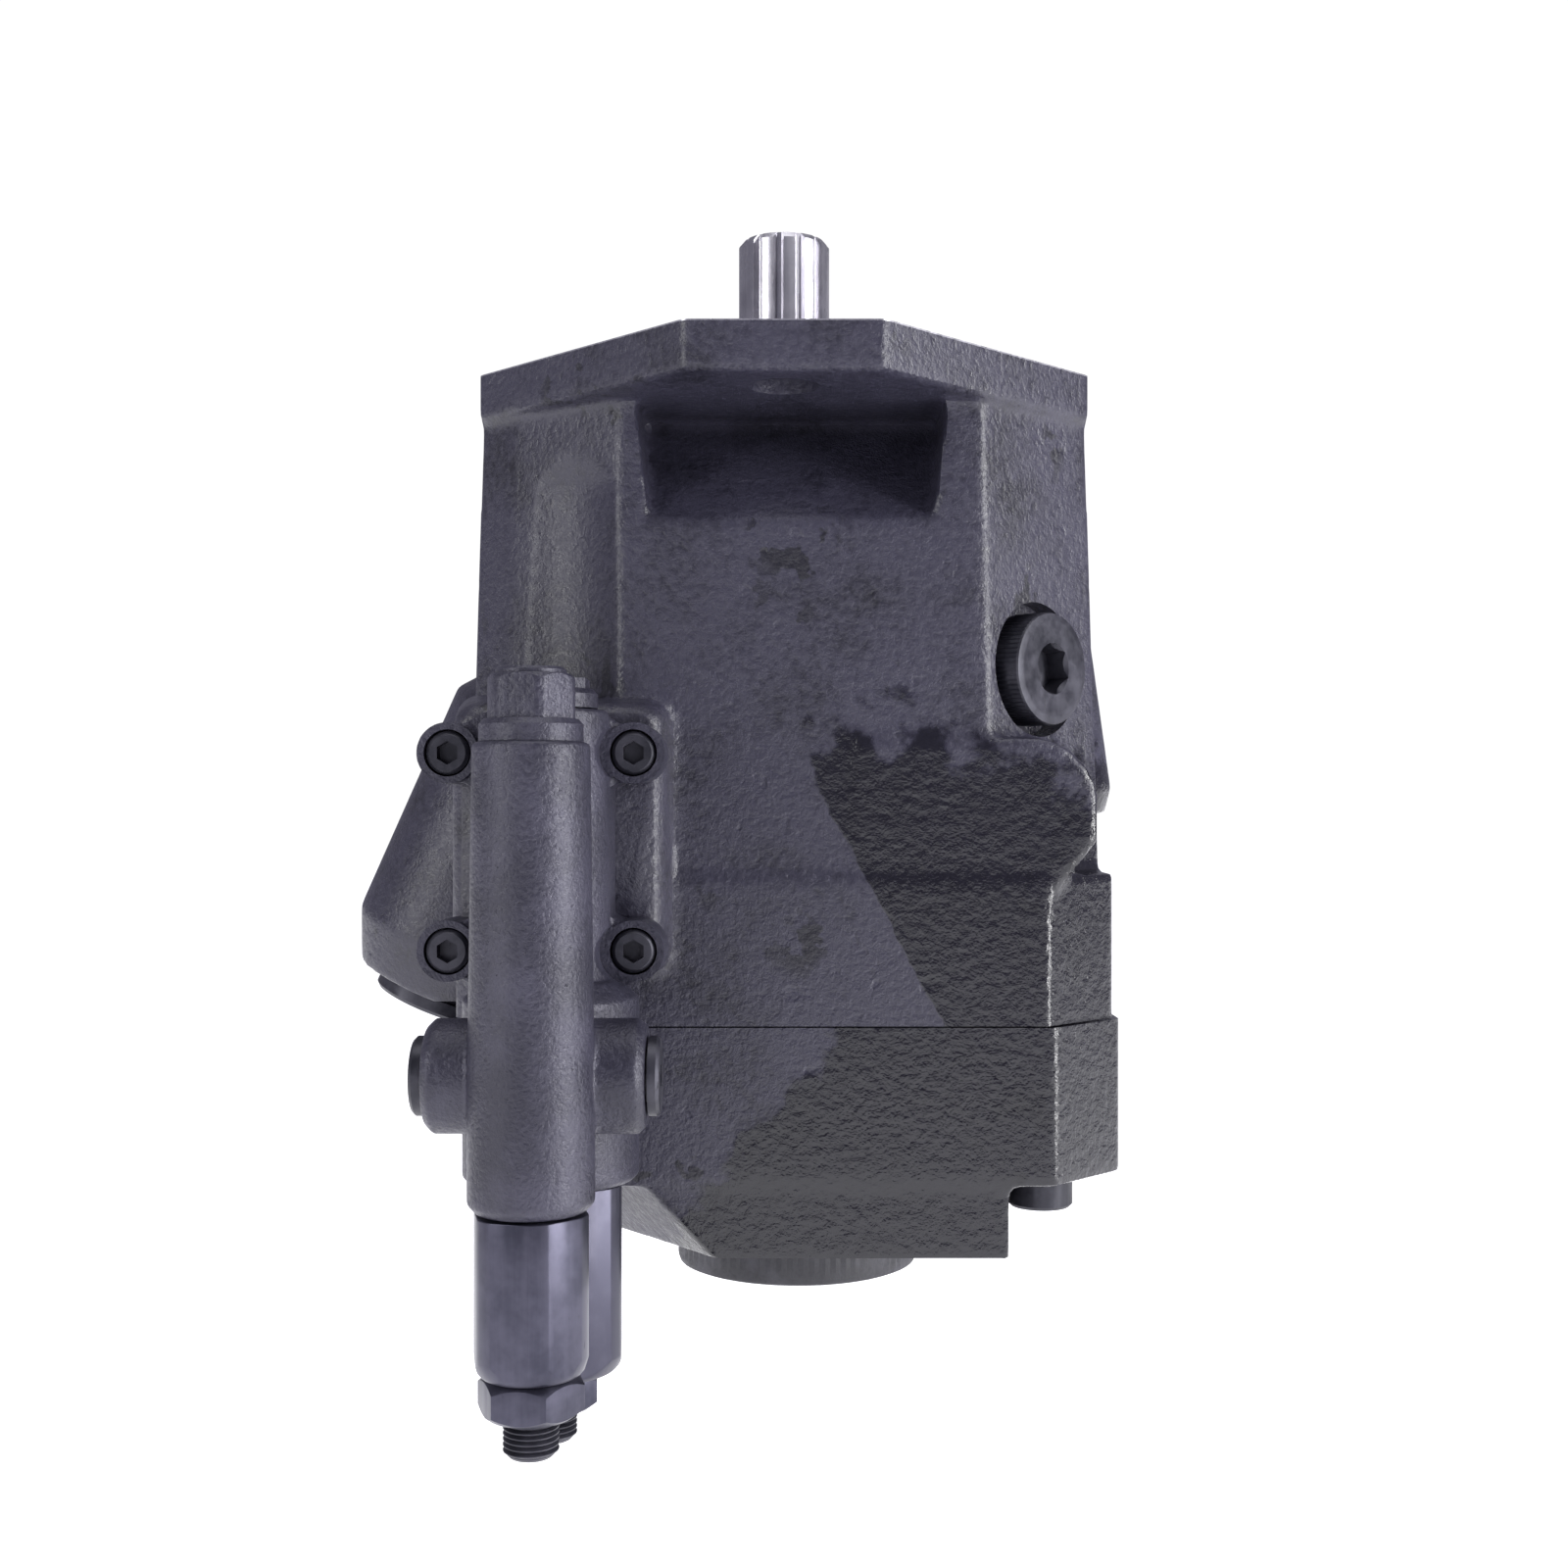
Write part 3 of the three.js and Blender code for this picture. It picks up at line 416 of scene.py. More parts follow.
def castPaint():  # thick gloss paint over a rough casting, with the machined face left bare
    recipe = Recipe("glossPaint")
    coarse = recipe.noise(paint["grain"], 3, 0.6)
    fine = recipe.noise(paint["grain"] * 2.7, 3, 0.6)
    blotch = recipe.noise(55, 4, 0.6)
    wet = wetArea(recipe)
    pits = recipe.band(recipe.noise(210, 2, 0.5), 0.62, 0.72) * recipe.band(blotch, 0.5, 0.62)
    spots = recipe.band(recipe.noise(130, 3, 0.6), 0.56, 0.6)
    patches = spots * recipe.band(recipe.noise(28, 2, 0.5), 0.52, 0.6)
    dry = recipe.band(blotch + (coarse - 0.5) * 0.5, 0.1, 0.6) * (1 - patches * 0.8)
    painted = recipe.blend(dry * (1 - wet * 0.9), paint["deep"], paint["dusty"])
    bare = recipe.axis("Z") > -0.0003
    tone = recipe.blend(bare, painted, paint["bare"])
    rough = recipe.band(coarse, 0.3, 0.7, 0.3, 0.46) - wet * 0.24
    height = coarse * 0.75 + fine * 0.3 - pits * 0.35
    cast = recipe.bump(height * (1 - bare) * (1 - wet * 0.6), paint["grainDepth"])
    runs = recipe.bump(recipe.noise(430, 4, 0.6) * wet, paint["wetDepth"], cast)
    return recipe.finish(
        Base_Color=tone, Roughness=rough * (1 - bare * 0.2), Metallic=bare * 0.9, Normal=runs)


valveCoat = {"dark": (0.02, 0.019, 0.032), "light": (0.042, 0.04, 0.062), "grain": 1100, "depth": 0.00026}


def castCoat():
    recipe = Recipe("satinCoat")
    grain = recipe.noise(valveCoat["grain"], 3, 0.6)
    cloud = recipe.noise(60, 3, 0.6)
    dimples = recipe.band(recipe.noise(1500, 2, 0.5), 0.68, 0.8)
    shade = recipe.band(cloud + (grain - 0.5) * 0.4, 0.3, 0.7)
    tone = recipe.blend(shade, valveCoat["dark"], valveCoat["light"])
    rough = recipe.band(grain, 0.3, 0.7, 0.34, 0.5)
    cast = recipe.bump(grain - dimples * 0.6, valveCoat["depth"])
    return recipe.finish(Base_Color=tone, Roughness=rough, Metallic=0.25, Normal=cast)


metals = {  # rough holds the smoothest and the roughest; a small stretch draws the marks out along Z
    "satinSteel": {
        "dark": (0.033, 0.033, 0.051), "light": (0.07, 0.068, 0.097),
        "metallic": 0.75, "rough": (0.3, 0.42), "stretch": 0.05, "depth": 0.00002},
    "paleSteel": {
        "dark": (0.045, 0.044, 0.065), "light": (0.075, 0.073, 0.1),
        "metallic": 0.75, "rough": (0.34, 0.46), "stretch": 0.05, "depth": 0.00002},
    "blackOxide": {
        "dark": (0.018, 0.018, 0.026), "light": (0.05, 0.049, 0.064),
        "metallic": 0.5, "rough": (0.32, 0.5), "stretch": 1, "depth": 0.00004},
    "groundSteel": {
        "dark": (0.36, 0.35, 0.39), "light": (0.52, 0.51, 0.55),
        "metallic": 0.95, "rough": (0.2, 0.34), "stretch": 0.06, "depth": 0.00002},
    "turnedBronze": {
        "dark": (0.34, 0.2, 0.08), "light": (0.5, 0.32, 0.14),
        "metallic": 0.95, "rough": (0.25, 0.4), "stretch": 0.2, "depth": 0.00002},
}


def brushedMetal(name):
    metal = metals[name]
    recipe = Recipe(name)
    lines = recipe.noise(260, 5, 0.65, recipe.stretched((1, 1, metal["stretch"])))
    cloud = recipe.noise(90, 4, 0.6)
    scuffs = recipe.band(recipe.noise(700, 4, 0.75, recipe.stretched((1, 1, 0.25))), 0.6, 0.72)
    worn = scuffs * recipe.band(cloud, 0.5, 0.62)
    shade = recipe.band(cloud + (lines - 0.5) * 0.5, 0.3, 0.7)
    tone = recipe.blend(shade, metal["dark"], metal["light"])
    worked = recipe.blend(worn * 0.7, tone, tuple(value * 0.35 for value in metal["dark"]))
    rough = recipe.band(lines, 0.3, 0.7, *metal["rough"]) + worn * 0.2
    marks = recipe.bump(lines - worn * 0.6, metal["depth"])
    return recipe.finish(Base_Color=worked, Roughness=rough, Metallic=metal["metallic"], Normal=marks)


def mouldedPlastic():
    recipe = Recipe("mouldedPlastic")
    grain = recipe.noise(1400, 3, 0.6)
    dust = recipe.band(recipe.noise(120, 4, 0.6), 0.4, 0.7)
    tone = recipe.blend(dust, (0.018, 0.0175, 0.024), (0.038, 0.037, 0.049))
    rough = recipe.band(grain, 0.3, 0.7, 0.4, 0.58)
    return recipe.finish(Base_Color=tone, Roughness=rough, Normal=recipe.bump(grain, 0.00006))


def sealRubber():
    recipe = Recipe("sealRubber")
    grain = recipe.noise(900, 3, 0.6)
    tone = recipe.blend(grain, (0.012, 0.012, 0.013), (0.03, 0.03, 0.032))
    return recipe.finish(Base_Color=tone, Roughness=0.7, Normal=recipe.bump(grain, 0.00005))


glossPaint = castPaint()
satinCoat = castCoat()
satinSteel = brushedMetal("satinSteel")
paleSteel = brushedMetal("paleSteel")
blackOxide = brushedMetal("blackOxide")
groundSteel = brushedMetal("groundSteel")
turnedBronze = brushedMetal("turnedBronze")
blackPlastic = mouldedPlastic()
blackRubber = sealRubber()
print("finishes made")


# where pieces meet

joints = {
    "strokeX": -50.1, "strokeZ": -61, "strokeLean": 24, "drain": (52.9, -50.1, -65.5),
    "boltX": 55.5, "boltY": 45, "screwMiddle": -47.4, "screwHalf": 18.1, "screwHeights": (-84.2, -122.8),
}

boltCorners = [(x * joints["boltX"], y * joints["boltY"]) for x, y in ((-1, -1), (1, -1), (1, 1), (-1, 1))]
screwPlaces = [
    (joints["screwMiddle"] + side * joints["screwHalf"], z, side)
    for z in joints["screwHeights"] for side in (-1, 1)]


def onStrokeAxis(piece):
    return shift(piece, joints["strokeX"], 0, joints["strokeZ"], turnY=joints["strokeLean"])


def drainPlace(piece):
    return shift(piece, *joints["drain"], turnX=90, turnZ=45)


def frontFacing(name, radius, near, far, x, z, sides=48):  # a round bar along Y
    return shift(rod(name, radius, near, far, sides), x, 0, z, turnX=90)


# housing

casting = {
    "side": 66.5, "front": 62, "corner": 25.5, "bottom": -140, "voxel": 1.3, "rounds": 6,
    "foot": -143, "footSide": 70.6, "footFront": 65, "footCorner": 16, "skirtTop": -109,
    "flange": 10, "flangeHalf": 67, "ear": 19.5, "earReach": 87, "earCorner": 21,
    "hole": 7.15, "holeReach": 73,
    "pilot": 50.8, "pilotHeight": 9.5, "pilotEdge": 1, "padEdge": -20.5, "padFace": -72, "pivot": -79,
}


def cornered(name, halfX, halfY, low, high, cut):  # an upright block with 45 degree corners
    piece = block(name, (-halfX, -halfY, low), (halfX, halfY, high))
    for x in (-1, 1):
        for y in (-1, 1):
            sliceOff(piece, (x * (halfX - cut), y * halfY, 0), (x, y, 0))
    return piece


def flangePlate():
    half, reach, ear = casting["flangeHalf"], casting["earReach"], casting["ear"]
    flange = block("flangePlate", (-half, -reach, -casting["flange"]), (half, reach, 3))
    for x in (-1, 1):
        for y in (-1, 1):
            slope = (x * (reach - casting["earCorner"]), y * (half - ear), 0)
            sliceOff(flange, (x * ear, y * reach, 0), slope)
    return flange


def earPocket():  # the sloped room for a bolt head, narrower at its foot
    pocket = block("earPocket", (-36, -100, -44), (39, -30, -10))
    sliceOff(pocket, (0, -37.5, -10), (0, 33, -25))
    sliceOff(pocket, (-31, 0, -10), (-1, 0, -0.12))
    return sliceOff(pocket, (34, 0, -10), (1, 0, -0.12))


def leftStrip():  # the smooth hollow between the front face and the left corner's rib
    return shift(turned("leftStrip", [(24, -150), (24, -27), (20, -15)]), -56.5, -73, 0)


def strokeBulge():
    return onStrokeAxis(turned("strokeBulge", [(18.4, -85), (23.7, -73), (23.7, -16), (8, 4)]))


def biasBulge():
    return shift(turned("biasBulge", [(16, -50), (18, -44), (16, -4), (8, 6)]), 59, 12, -48, turnY=-5)


def cornerLobe():  # the flat-faced lobe low on the front right corner
    lobe = block("cornerLobe", (15, -64.6, -122), (64.8, -38, -80.5))
    for angle in (20, 45, 70):
        across, up = math.cos(math.radians(angle)), math.sin(math.radians(angle))
        sliceOff(lobe, (50.8 + 14 * across, 0, -94.5 + 14 * up), (across, 0, up))
    return sliceOff(lobe, (61.5, 0, -106), (0.78, 0, -0.62))


def drawOut(piece, low, growX, growY):  # the foot grows, as a casting's draft does
    chooseNone(piece)
    for point in piece.data.vertices:
        point.select = point.co.z < (low + 1) * mm
    resizeChosen((growX, growY, 1), (0, 0, low * mm))
    return piece


def castColumn():
    side, front, foot = casting["side"], casting["front"], casting["foot"]
    column = cornered("housing", side, front, foot, -5, casting["corner"])
    sliceOff(column, (-34, -front, 0), (-0.577, -0.817, 0))
    drawOut(column, foot, casting["footSide"] / side, casting["footFront"] / front)
    carve(column, leftStrip(), earPocket(), shift(earPocket(), turnZ=180))
    skirt = cornered(
        "skirt", casting["footSide"], casting["footFront"], foot, casting["skirtTop"], casting["footCorner"])
    pad = leaningBox("pad", (-71, -73, -132), (casting["padEdge"], -45, -70), 4)
    soften(pad, 5, 4)
    spot = drainPlace(rod("spotBoss", 16, -16, -2.2))
    weld(column, skirt, flangePlate(), pad, strokeBulge(), biasBulge(), cornerLobe(), spot)
    return castSkin(column, casting["voxel"], casting["rounds"])


def makeHousing():
    column = castColumn()
    sliceOff(column, (0, 0, 0), (0, 0, 1))
    sliceOff(column, (0, 0, casting["bottom"]), (0, 0, -1))
    pilot, top, edge = casting["pilot"], casting["pilotHeight"], casting["pilotEdge"]
    weld(column, turned("pilot", [(pilot, -1), (pilot, top - edge), (pilot - edge, top)], 96))
    padFace = block("padFace", (-90, -90, -136), (casting["padEdge"], casting["padFace"], -66))
    carve(column, padFace)
    for side in (-1, 1):
        carve(column, shift(rod("mountHole", casting["hole"], -14, 2), 0, side * casting["holeReach"], 0))
    return carve(column, drainPlace(rod("spotFace", 14.4, -3.2, 20)), drainPlace(rod("drainBore", 9.3, -45, 0)))


def hollowHousing(piece):
    pivot = casting["pivot"]
    bores = [
        rod("cavity", 46, -150, pivot), rod("bearingBore", 26, -80, -14), rod("sealBore", 21, -15, 12),
        frontFacing("saddleRoom", 38.6, -38, 38, 0, pivot),
        block("slot", (-46, -17, -80), (46, 17, -40.4)),
        block("strokeRoom", (-64.5, -14, -93), (-40, 14, -44)),
        block("biasRoom", (40, 1, -81), (66, 15, -41)),
        onStrokeAxis(rod("strokeBore", 12.4, -90, -18)),
        shift(rod("biasBore", 9.4, -150, -45), 57, 8, 0),
    ]
    bores += [shift(rod("boltHole", 4.3, -145, -121, 24), x, y, 0) for x, y in boltCorners]
    bores += [frontFacing("screwHole", 2.8, 59, 75, x, z, 24) for x, z, side in screwPlaces]
    return carve(piece, *bores)


housing = smoothFaces(hollowHousing(makeHousing()), 40)
place(housing, "pumpHousing", "housing", "housing_paint", glossPaint, "housing")
print("housing made")


# port plate

plate = {
    "side": 72, "front": 65, "corner": 16, "leftSide": -66.5,
    "top": -140.3, "bottom": -173.3, "rear": -188.3,
    "blockHalf": 46.5, "blockFront": 64.5, "blockCorner": 7, "voxel": 1.2, "rounds": 7,
    "suction": 23, "suctionY": -22, "pressure": 14, "pressureY": 30, "portX": 3, "boltSeat": 8.4,
}


def portBlock():
    half, front = plate["blockHalf"], plate["blockFront"]
    low = block("portBlock", (-half, -front, plate["rear"]), (half, front, plate["bottom"] + 3))
    for x in (-1, 1):
        sliceOff(low, (x * (half - plate["blockCorner"]), front, 0), (x, 1, 0))
    facet = block("facet", (-60, -80, -200), (-10, -30, -160))
    sliceOff(facet, (-30, -65, -171), (0.62, 0.5, 0.6))
    return carve(low, facet)


def makePortPlate():
    body = cornered("portPlate", plate["side"], plate["front"], plate["bottom"], -137, plate["corner"])
    weld(body, portBlock())
    sliceOff(body, (plate["leftSide"], 0, 0), (-1, 0, 0))
    castSkin(body, plate["voxel"], plate["rounds"])
    sliceOff(body, (0, 0, plate["top"]), (0, 0, 1))
    return sliceOff(body, (0, 0, plate["rear"] + 0.4), (0, 0, -1))


def borePortPlate(piece):
    bores = [
        rod("rearBearingBore", 19, -157.3, -139),
        shift(rod("suctionPort", plate["suction"], -200, -168.3), plate["portX"], plate["suctionY"], 0),
        shift(rod("pressurePort", plate["pressure"], -200, -168.3), plate["portX"], plate["pressureY"], 0),
        carve(rod("sealGroove", 54, -142.9, -139), rod("sealCore", 50, -145, -138)),
    ]
    for x, y in boltCorners:
        bores.append(shift(rod("boltWay", 4.3, -180, -139, 24), x, y, 0))
        bores.append(shift(rod("boltSeat", plate["boltSeat"], -190, plate["bottom"]), x, y, 0))
    return carve(piece, *bores)


portPlate = smoothFaces(borePortPlate(makePortPlate()), 40)
place(portPlate, "pumpPortPlate", "housing", "housing_paint", glossPaint, "port_plate")
print("port plate made")


# screws, plugs and shaft

def knurl(piece, low, high, count, depth):  # every second edge drawn in round the side
    chooseNone(piece)
    outer = max(math.hypot(point.co.x, point.co.y) for point in piece.data.vertices)
    for point in piece.data.vertices:
        turn = round(math.atan2(point.co.y, point.co.x) / math.tau * count * 2)
        across = math.hypot(point.co.x, point.co.y)
        point.select = turn % 2 == 0 and across > outer * 0.98 and low * mm < point.co.z < high * mm
    shrink = 1 - depth * mm / outer
    resizeChosen((shrink, shrink, 1), (0, 0, 0))


def capScrew(name, head, height, shank, length, flats):  # head's underside at 0, shank below
    bevel = 0.7
    profile = [(shank, -length), (shank, 0), (head, 0), (head, height - bevel), (head - bevel, height)]
    return carve(turned(name, profile), hexBar("socket", flats, height * 0.4, height + 1))


portBolt = {"head": 7, "height": 7.5, "shank": 4, "length": 51.3, "flats": 6}
boltSeat = plate["bottom"] - 0.3


def makePortBolt():
    bolt = capScrew("portBolt", **portBolt)
    knurl(bolt, 0.2, 6.9, 32, 0.25)
    return smoothFaces(bolt, 30)


modelBolt = makePortBolt()
for number, (x, y) in enumerate(boltCorners, 1):
    bolt = shift(copyOf(modelBolt, "portBolt"), x, y, boltSeat, turnX=180)
    place(bolt, f"portPlateBolt{number}", "housing", "black_steel", blackOxide, f"port_plate_bolt_{number}")
bpy.data.objects.remove(modelBolt)

portPlugs = {
    "suction": {"head": 27.2, "knurls": 72}, "pressure": {"head": 19, "knurls": 52},
    "depth": 9.5, "knurlDepth": 0.35, "seat": -188.6,
}


def makePortPlug(name):
    port, head, knurls = plate[name], portPlugs[name]["head"], portPlugs[name]["knurls"]
    depth = portPlugs["depth"]
    profile = [
        (head - 4, -depth), (head - 1.6, -depth), (head - 0.4, -depth + 0.5), (head, -depth + 1.6),
        (head, -0.6), (head - 0.6, 0), (port - 0.5, 0), (port - 0.5, 16)]
    plug = turned(name, profile, knurls * 2)
    knurl(plug, -depth + 1.2, -0.3, knurls, portPlugs["knurlDepth"])
    carve(plug, hexBar("plugSocket", port, -depth - 1, -3))
    return shift(plug, plate["portX"], plate[f"{name}Y"], portPlugs["seat"])


for name in ("suction", "pressure"):
    plug = smoothFaces(makePortPlug(name), 25)
    place(plug, f"{name}PortPlug", "housing", "black_plastic", blackPlastic, f"{name}_plug")


def makeDrainPlug():
    profile = [
        (9, -15.5), (9, -2.9), (11.7, -2.9), (12, -2.5), (12, 5.2), (11.7, 5.6), (10.4, 5.9), (10.0, 5.9)]
    plug = turned("drainPlug", profile, 144)
    knurl(plug, -2.7, 5.4, 72, 0.22)
    carve(plug, hexBar("drainSocket", 9.7, 0.8, 8, 12))
    carve(plug, turned("socketMouth", [(4.9, 5.0), (5.75, 6.3)]))
    return drainPlace(plug)


place(smoothFaces(makeDrainPlug(), 25), "drainPortPlug", "housing", "black_steel", blackOxide, "drain_plug")


def makeStrokePlug():
    plug = turned("strokePlug", [(11.7, -75), (11.7, -85.3), (13, -85.3), (13, -88.2), (12.2, -89)])
    return onStrokeAxis(carve(plug, hexBar("strokeSocket", 12, -95, -81)))


place(smoothFaces(makeStrokePlug(), 30), "strokePlug", "housing", "black_steel", blackOxide, "stroke_bore_plug")

spline = {"teeth": 13, "root": 9.5, "halfFoot": 0.55}


def makeShaft():
    profile = [
        (9, -156.3), (9, -141.8), (11, -140.3), (11, -132.9), (12.1, -132.9), (12.1, -113), (11, -113),
        (11, -39), (18, -39), (18, -34.3), (15, -34.3), (15, -14), (13, -14), (13, 1), (10.9, 2), (10.9, 39.6),
        (9.7, 41)]
    shaft = turned("shaft", profile, 104)
    for tooth in range(spline["teeth"]):
        groove = block("groove", (spline["root"], -1.25, 4), (14, 1.25, 45))
        for side in (-1, 1):
            sliceOff(groove, (spline["root"], side * spline["halfFoot"], 0), (-0.5, side, 0))
        carve(shaft, shift(groove, turnZ=360 / spline["teeth"] * (tooth + 0.5)))
    return carve(shaft, turned("centreDrill", [(0.8, 36), (1.6, 39.2), (3.2, 42)], 32))


place(smoothFaces(makeShaft(), 30), "splinedShaft", "shaft", "bright_steel", groundSteel, "drive_shaft")
print("screws, plugs and shaft made")


# control valve

valve = {
    "x": -45, "front": -116, "back": -88, "face": -72.3, "voxel": 0.6, "rounds": 4, "ear": 6.05,
    "earFront": -86.3, "crossHeight": -143.8, "crossDepth": -107, "crossHalf": 20.2,
}


def column(name, profile, y):
    return shift(turned(name, profile), valve["x"], y, 0)


def onCross(piece, out=0, turnY=90):  # along the bore that crosses the valve
    return shift(piece, valve["x"] + out, valve["crossDepth"], valve["crossHeight"], turnY=turnY)


def wing(tip, z, side):  # the web between a screw's ear and the middle of the valve
    low, high = sorted((valve["x"], tip))
    web = block("wing", (low, -84.6, z - 15), (high, valve["face"], z + 15))
    for up in (-1, 1):
        sliceOff(web, (tip, 0, z + up * 4.4), (side * 0.5, 0, up * 1.0))
    return web


def makeValveBody():
    outline = [(9.8, -166.5), (11.35, -164.8), (11.35, -150), (10.5, -83.6), (9.6, -83)]
    body = column("valveBody", outline, valve["front"])
    web = block("valveWeb", (-51, -112, -166), (-39, -88, -84))
    core = block("valveCore", (-55.5, -90, -134), (-34, valve["face"], -77))
    rear = column("rearColumn", [(11.4, -134), (11, -76.6), (10.4, -76)], valve["back"])
    spring = column("springHousing", [(15.8, -166.5), (17, -165.3), (17, -131.5), (13, -128)], valve["back"])
    cross = onCross(turned("crossBoss", [(8.9, -20.2), (10.5, -18.6), (10.5, 18.6), (8.9, 20.2)]))
    weld(body, web, core, rear, spring, cross)
    for x, z, side in screwPlaces:
        ear = frontFacing("ear", valve["ear"], -valve["face"], -valve["earFront"], x, z)
        weld(body, ear, wing(x, z, side))
    castSkin(body, valve["voxel"], valve["rounds"])
    padSide = block("flat", (-90, valve["face"] - 0.3, -180), (-10, -40, -60))
    underside = block("foot", (-90, -140, -180), (-10, -60, -166.3))
    return carve(body, padSide, underside)


def boreValveBody(piece):
    bores = [
        column("flowBore", [(5, -170), (5, -80)], valve["front"]),
        column("pressureBore", [(6, -170), (6, -70)], valve["back"]),
        column("flowSeat", [(9.1, -83.25), (9.1, -80)], valve["front"]),
        onCross(rod("crossBore", 5, -25, 25)),
    ]
    for start in (-40, 20):
        face = block("crossFace", (0, -125, -160), (20, -90, -128))
        bores.append(shift(face, valve["x"] + start, 0, 0))
    for x, z, side in screwPlaces:
        bores.append(frontFacing("screwWay", 2.8, 60, 95, x, z))
        bores.append(frontFacing("screwSeat", 4.6, 80.8, 95, x, z))
        bores.append(frontFacing("earFace", 6.6, 86.0, 95, x, z))
    return carve(piece, *bores)


valveBody = smoothFaces(boreValveBody(makeValveBody()), 40)
place(valveBody, "compensatorBody", "housing", "valve_finish", satinCoat, "control_valve_body")


valveScrew = {"head": 4.25, "height": 5, "shank": 2.5, "length": 21, "flats": 4}
screwSeat = -81.1


def makeValveScrew():
    bolt = capScrew("valveScrew", **valveScrew)
    knurl(bolt, 0.2, 4.2, 16, 0.15)
    return smoothFaces(bolt, 30)


modelScrew = makeValveScrew()
for number, (x, z, side) in enumerate(screwPlaces, 1):
    bolt = shift(copyOf(modelScrew, "valveScrew"), x, screwSeat, z, turnX=90)
    place(bolt, f"valveScrew{number}", "housing", "black_steel", blackOxide, f"valve_screw_{number}")
bpy.data.objects.remove(modelScrew)


def makeCrossPlug(side):
    plug = turned("crossPlug", [(4.7, -9.7), (4.7, 0.2), (7.3, 0.2), (7.3, 1.7), (6.7, 2.3)])
    carve(plug, hexBar("crossSocket", 4, 0.8, 4))
    return onCross(plug, side * valve["crossHalf"], 90 * side)


for side, word in ((-1, "left"), (1, "right")):
    plug = smoothFaces(makeCrossPlug(side), 30)
    place(plug, f"crossPlug_{word}", "housing", "black_steel", blackOxide, f"cross_plug_{word}")


def makeFlowPlug():  # collar, rounded hexagon and a round cap
    collar = turned("flowPlug", [(4.7, -89), (4.7, -83), (9.3, -83), (9.3, -80), (8.4, -79), (7.5, -78.9)])
    hexagon = hexBar("plugHex", 14.4, -79.4, -71, 20)
    combine(hexagon, turned("plugBlank", [(7.95, -80), (7.95, -71.8), (7.1, -71)]), 'INTERSECT')
    soften(hexagon, 0.35, 2)
    cap = turned("plugCap", [(6.3, -71.4), (6.3, -70.3), (5.7, -69.8)])
    return shift(weld(collar, hexagon, cap), valve["x"], valve["front"], 0)


def makePressurePlug():
    collar = turned("pressurePlug", [(5.7, -82), (5.7, -75.7), (9, -75.7), (9, -73), (8.1, -72)])
    return shift(weld(collar, hexBar("pressureHex", 14, -73, -70)), valve["x"], valve["back"], 0)


for kind, plug in (("flow", makeFlowPlug()), ("pressure", makePressurePlug())):
    place(smoothFaces(plug, 30), f"{kind}BorePlug", "housing", "valve_finish", satinCoat, f"{kind}_bore_plug")
print("control valve made")


# adjusters

adjusters = {
    "flow": {"y": -116, "flats": 19.6, "length": 28.5, "bore": 6.6, "below": 7.3, "turn": 15, "nutTurn": 23},
    "pressure": {"y": -88, "flats": 27, "length": 36, "bore": 9.5, "below": 6.5, "turn": 4, "nutTurn": 10},
    "sleeveTop": -166.8, "nutGap": 0.3, "nutFlats": 17, "nutHeight": 7, "screwWay": 5.4,
    "screw": 5, "screwInside": 9, "threadPitch": 1.0, "threadDepth": 0.32,
}


def makeSleeve(name, size):
    top = adjusters["sleeveTop"]
    bottom = top - size["length"]
    side, corner = size["flats"] / 2, size["flats"] / math.sqrt(3)
    sleeve = hexBar(name, size["flats"], bottom, top, size["turn"])
    blank = turned("sleeveBlank", [
        (side - 0.9, bottom), (side - 0.2, bottom + 0.8), (corner - 0.9, bottom + 3.4), (corner - 0.9, top)])
    combine(sleeve, blank, 'INTERSECT')
    soften(sleeve, 0.4, 3, 25)
    carve(sleeve, rod("sleeveBore", size["bore"], bottom + 5, top + 1))
    carve(sleeve, rod("screwHole", adjusters["screwWay"], bottom - 1, bottom + 6))
    return shift(sleeve, valve["x"], size["y"], 0)


def nutTop(size):
    return adjusters["sleeveTop"] - adjusters["nutGap"] - size["length"]


def makeNut(name, size):
    top = nutTop(size)
    bottom = top - adjusters["nutHeight"]
    side, corner = adjusters["nutFlats"] / 2, adjusters["nutFlats"] / math.sqrt(3)
    nut = hexBar(name, adjusters["nutFlats"], bottom, top, size["nutTurn"])
    blank = turned("nutBlank", [
        (side - 0.6, bottom), (corner, bottom + 1.5), (corner, top - 1.5), (side - 0.6, top)])
    combine(nut, blank, 'INTERSECT')
    carve(nut, rod("nutHole", adjusters["screwWay"], bottom - 1, top + 1))
    soften(nut, 0.25, 2, 25)
    return shift(nut, valve["x"], size["y"], 0)


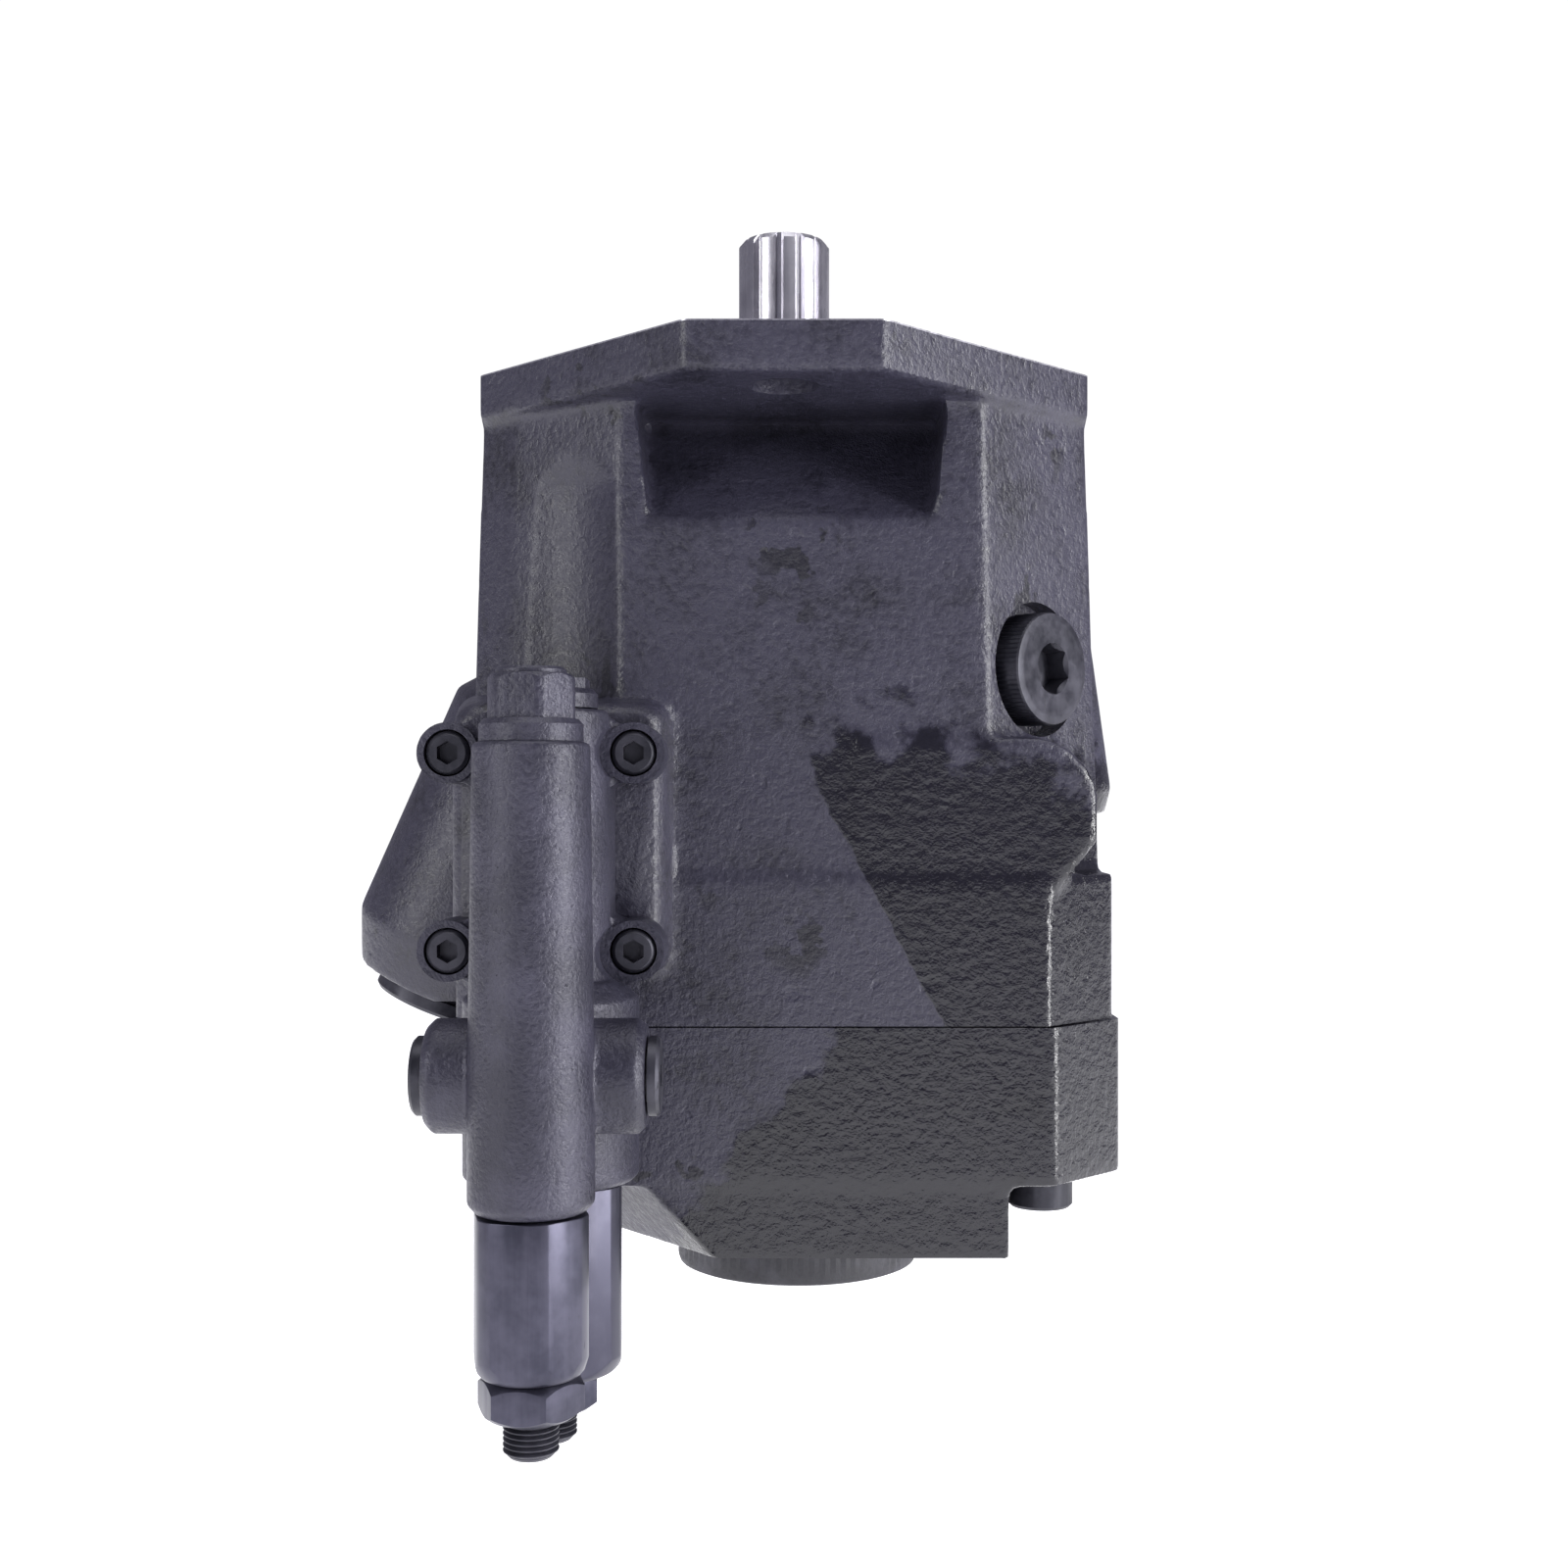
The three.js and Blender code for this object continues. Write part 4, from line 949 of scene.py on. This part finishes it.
def makeAdjustingScrew(name, size):  # threaded all the way, with a hexagon socket below
    top = nutTop(size) + adjusters["screwInside"]
    bottom = nutTop(size) - adjusters["nutHeight"] - size["below"]
    outer, pitch = adjusters["screw"], adjusters["threadPitch"]
    root = outer - adjusters["threadDepth"] * 2
    profile = [(outer - 1.1, bottom), (root, bottom + 0.5)]
    height = bottom + 0.7
    while height + pitch < top:
        profile += [(root, height), (outer, height + pitch * 0.4), (outer, height + pitch * 0.6)]
        height += pitch
    profile += [(root, height), (root - 0.4, top)]
    thread = turned(name, profile, 48)
    carve(thread, hexBar("screwSocket", 5, bottom - 1, bottom + 4))
    return shift(thread, valve["x"], size["y"], 0)


for kind, steel in (("flow", satinSteel), ("pressure", paleSteel)):
    size = adjusters[kind]
    sleeve = smoothFaces(makeSleeve(kind, size), 30)
    nut = smoothFaces(makeNut(kind, size), 30)
    thread = smoothFaces(makeAdjustingScrew(kind, size), 30)
    place(sleeve, f"{kind}Sleeve", "housing", "satin_steel", steel, f"{kind}_spring_sleeve")
    place(nut, f"{kind}LockNut", "housing", "satin_steel", satinSteel, f"{kind}_lock_nut")
    place(thread, f"{kind}Screw", f"{kind}_screw", "black_steel", blackOxide, f"{kind}_adjusting_screw")
print("adjusters made")


# inner pieces keep their own shape and only get a finish

showing = {
    blackRubber: ("port_plate_seal", "shaft_seal"),
    blackOxide: ("seal_retaining_ring",),
    turnedBronze: ("cylinder_barrel", "valve_plate", "cradle_shell_front", "cradle_shell_back"),
    groundSteel: (
        "front_bearing_cup", "front_bearing_cone", "rear_bearing_cup", "rear_bearing_cone", "retaining_plate",
        "guide_ball", "barrel_spring", "swashplate", "stroke_piston", "bias_piston", "bias_spring",
        "bias_bore_plug", "pressure_spool", "flow_spool", "pressure_spring", "flow_spring",
        "pressure_spring_seat", "flow_spring_seat", *(f"piston_{index}" for index in range(1, 10))),
}

for material, nodes in showing.items():
    for node in nodes:
        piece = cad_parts[node]
        piece.data.materials.clear()
        piece.data.materials.append(material)
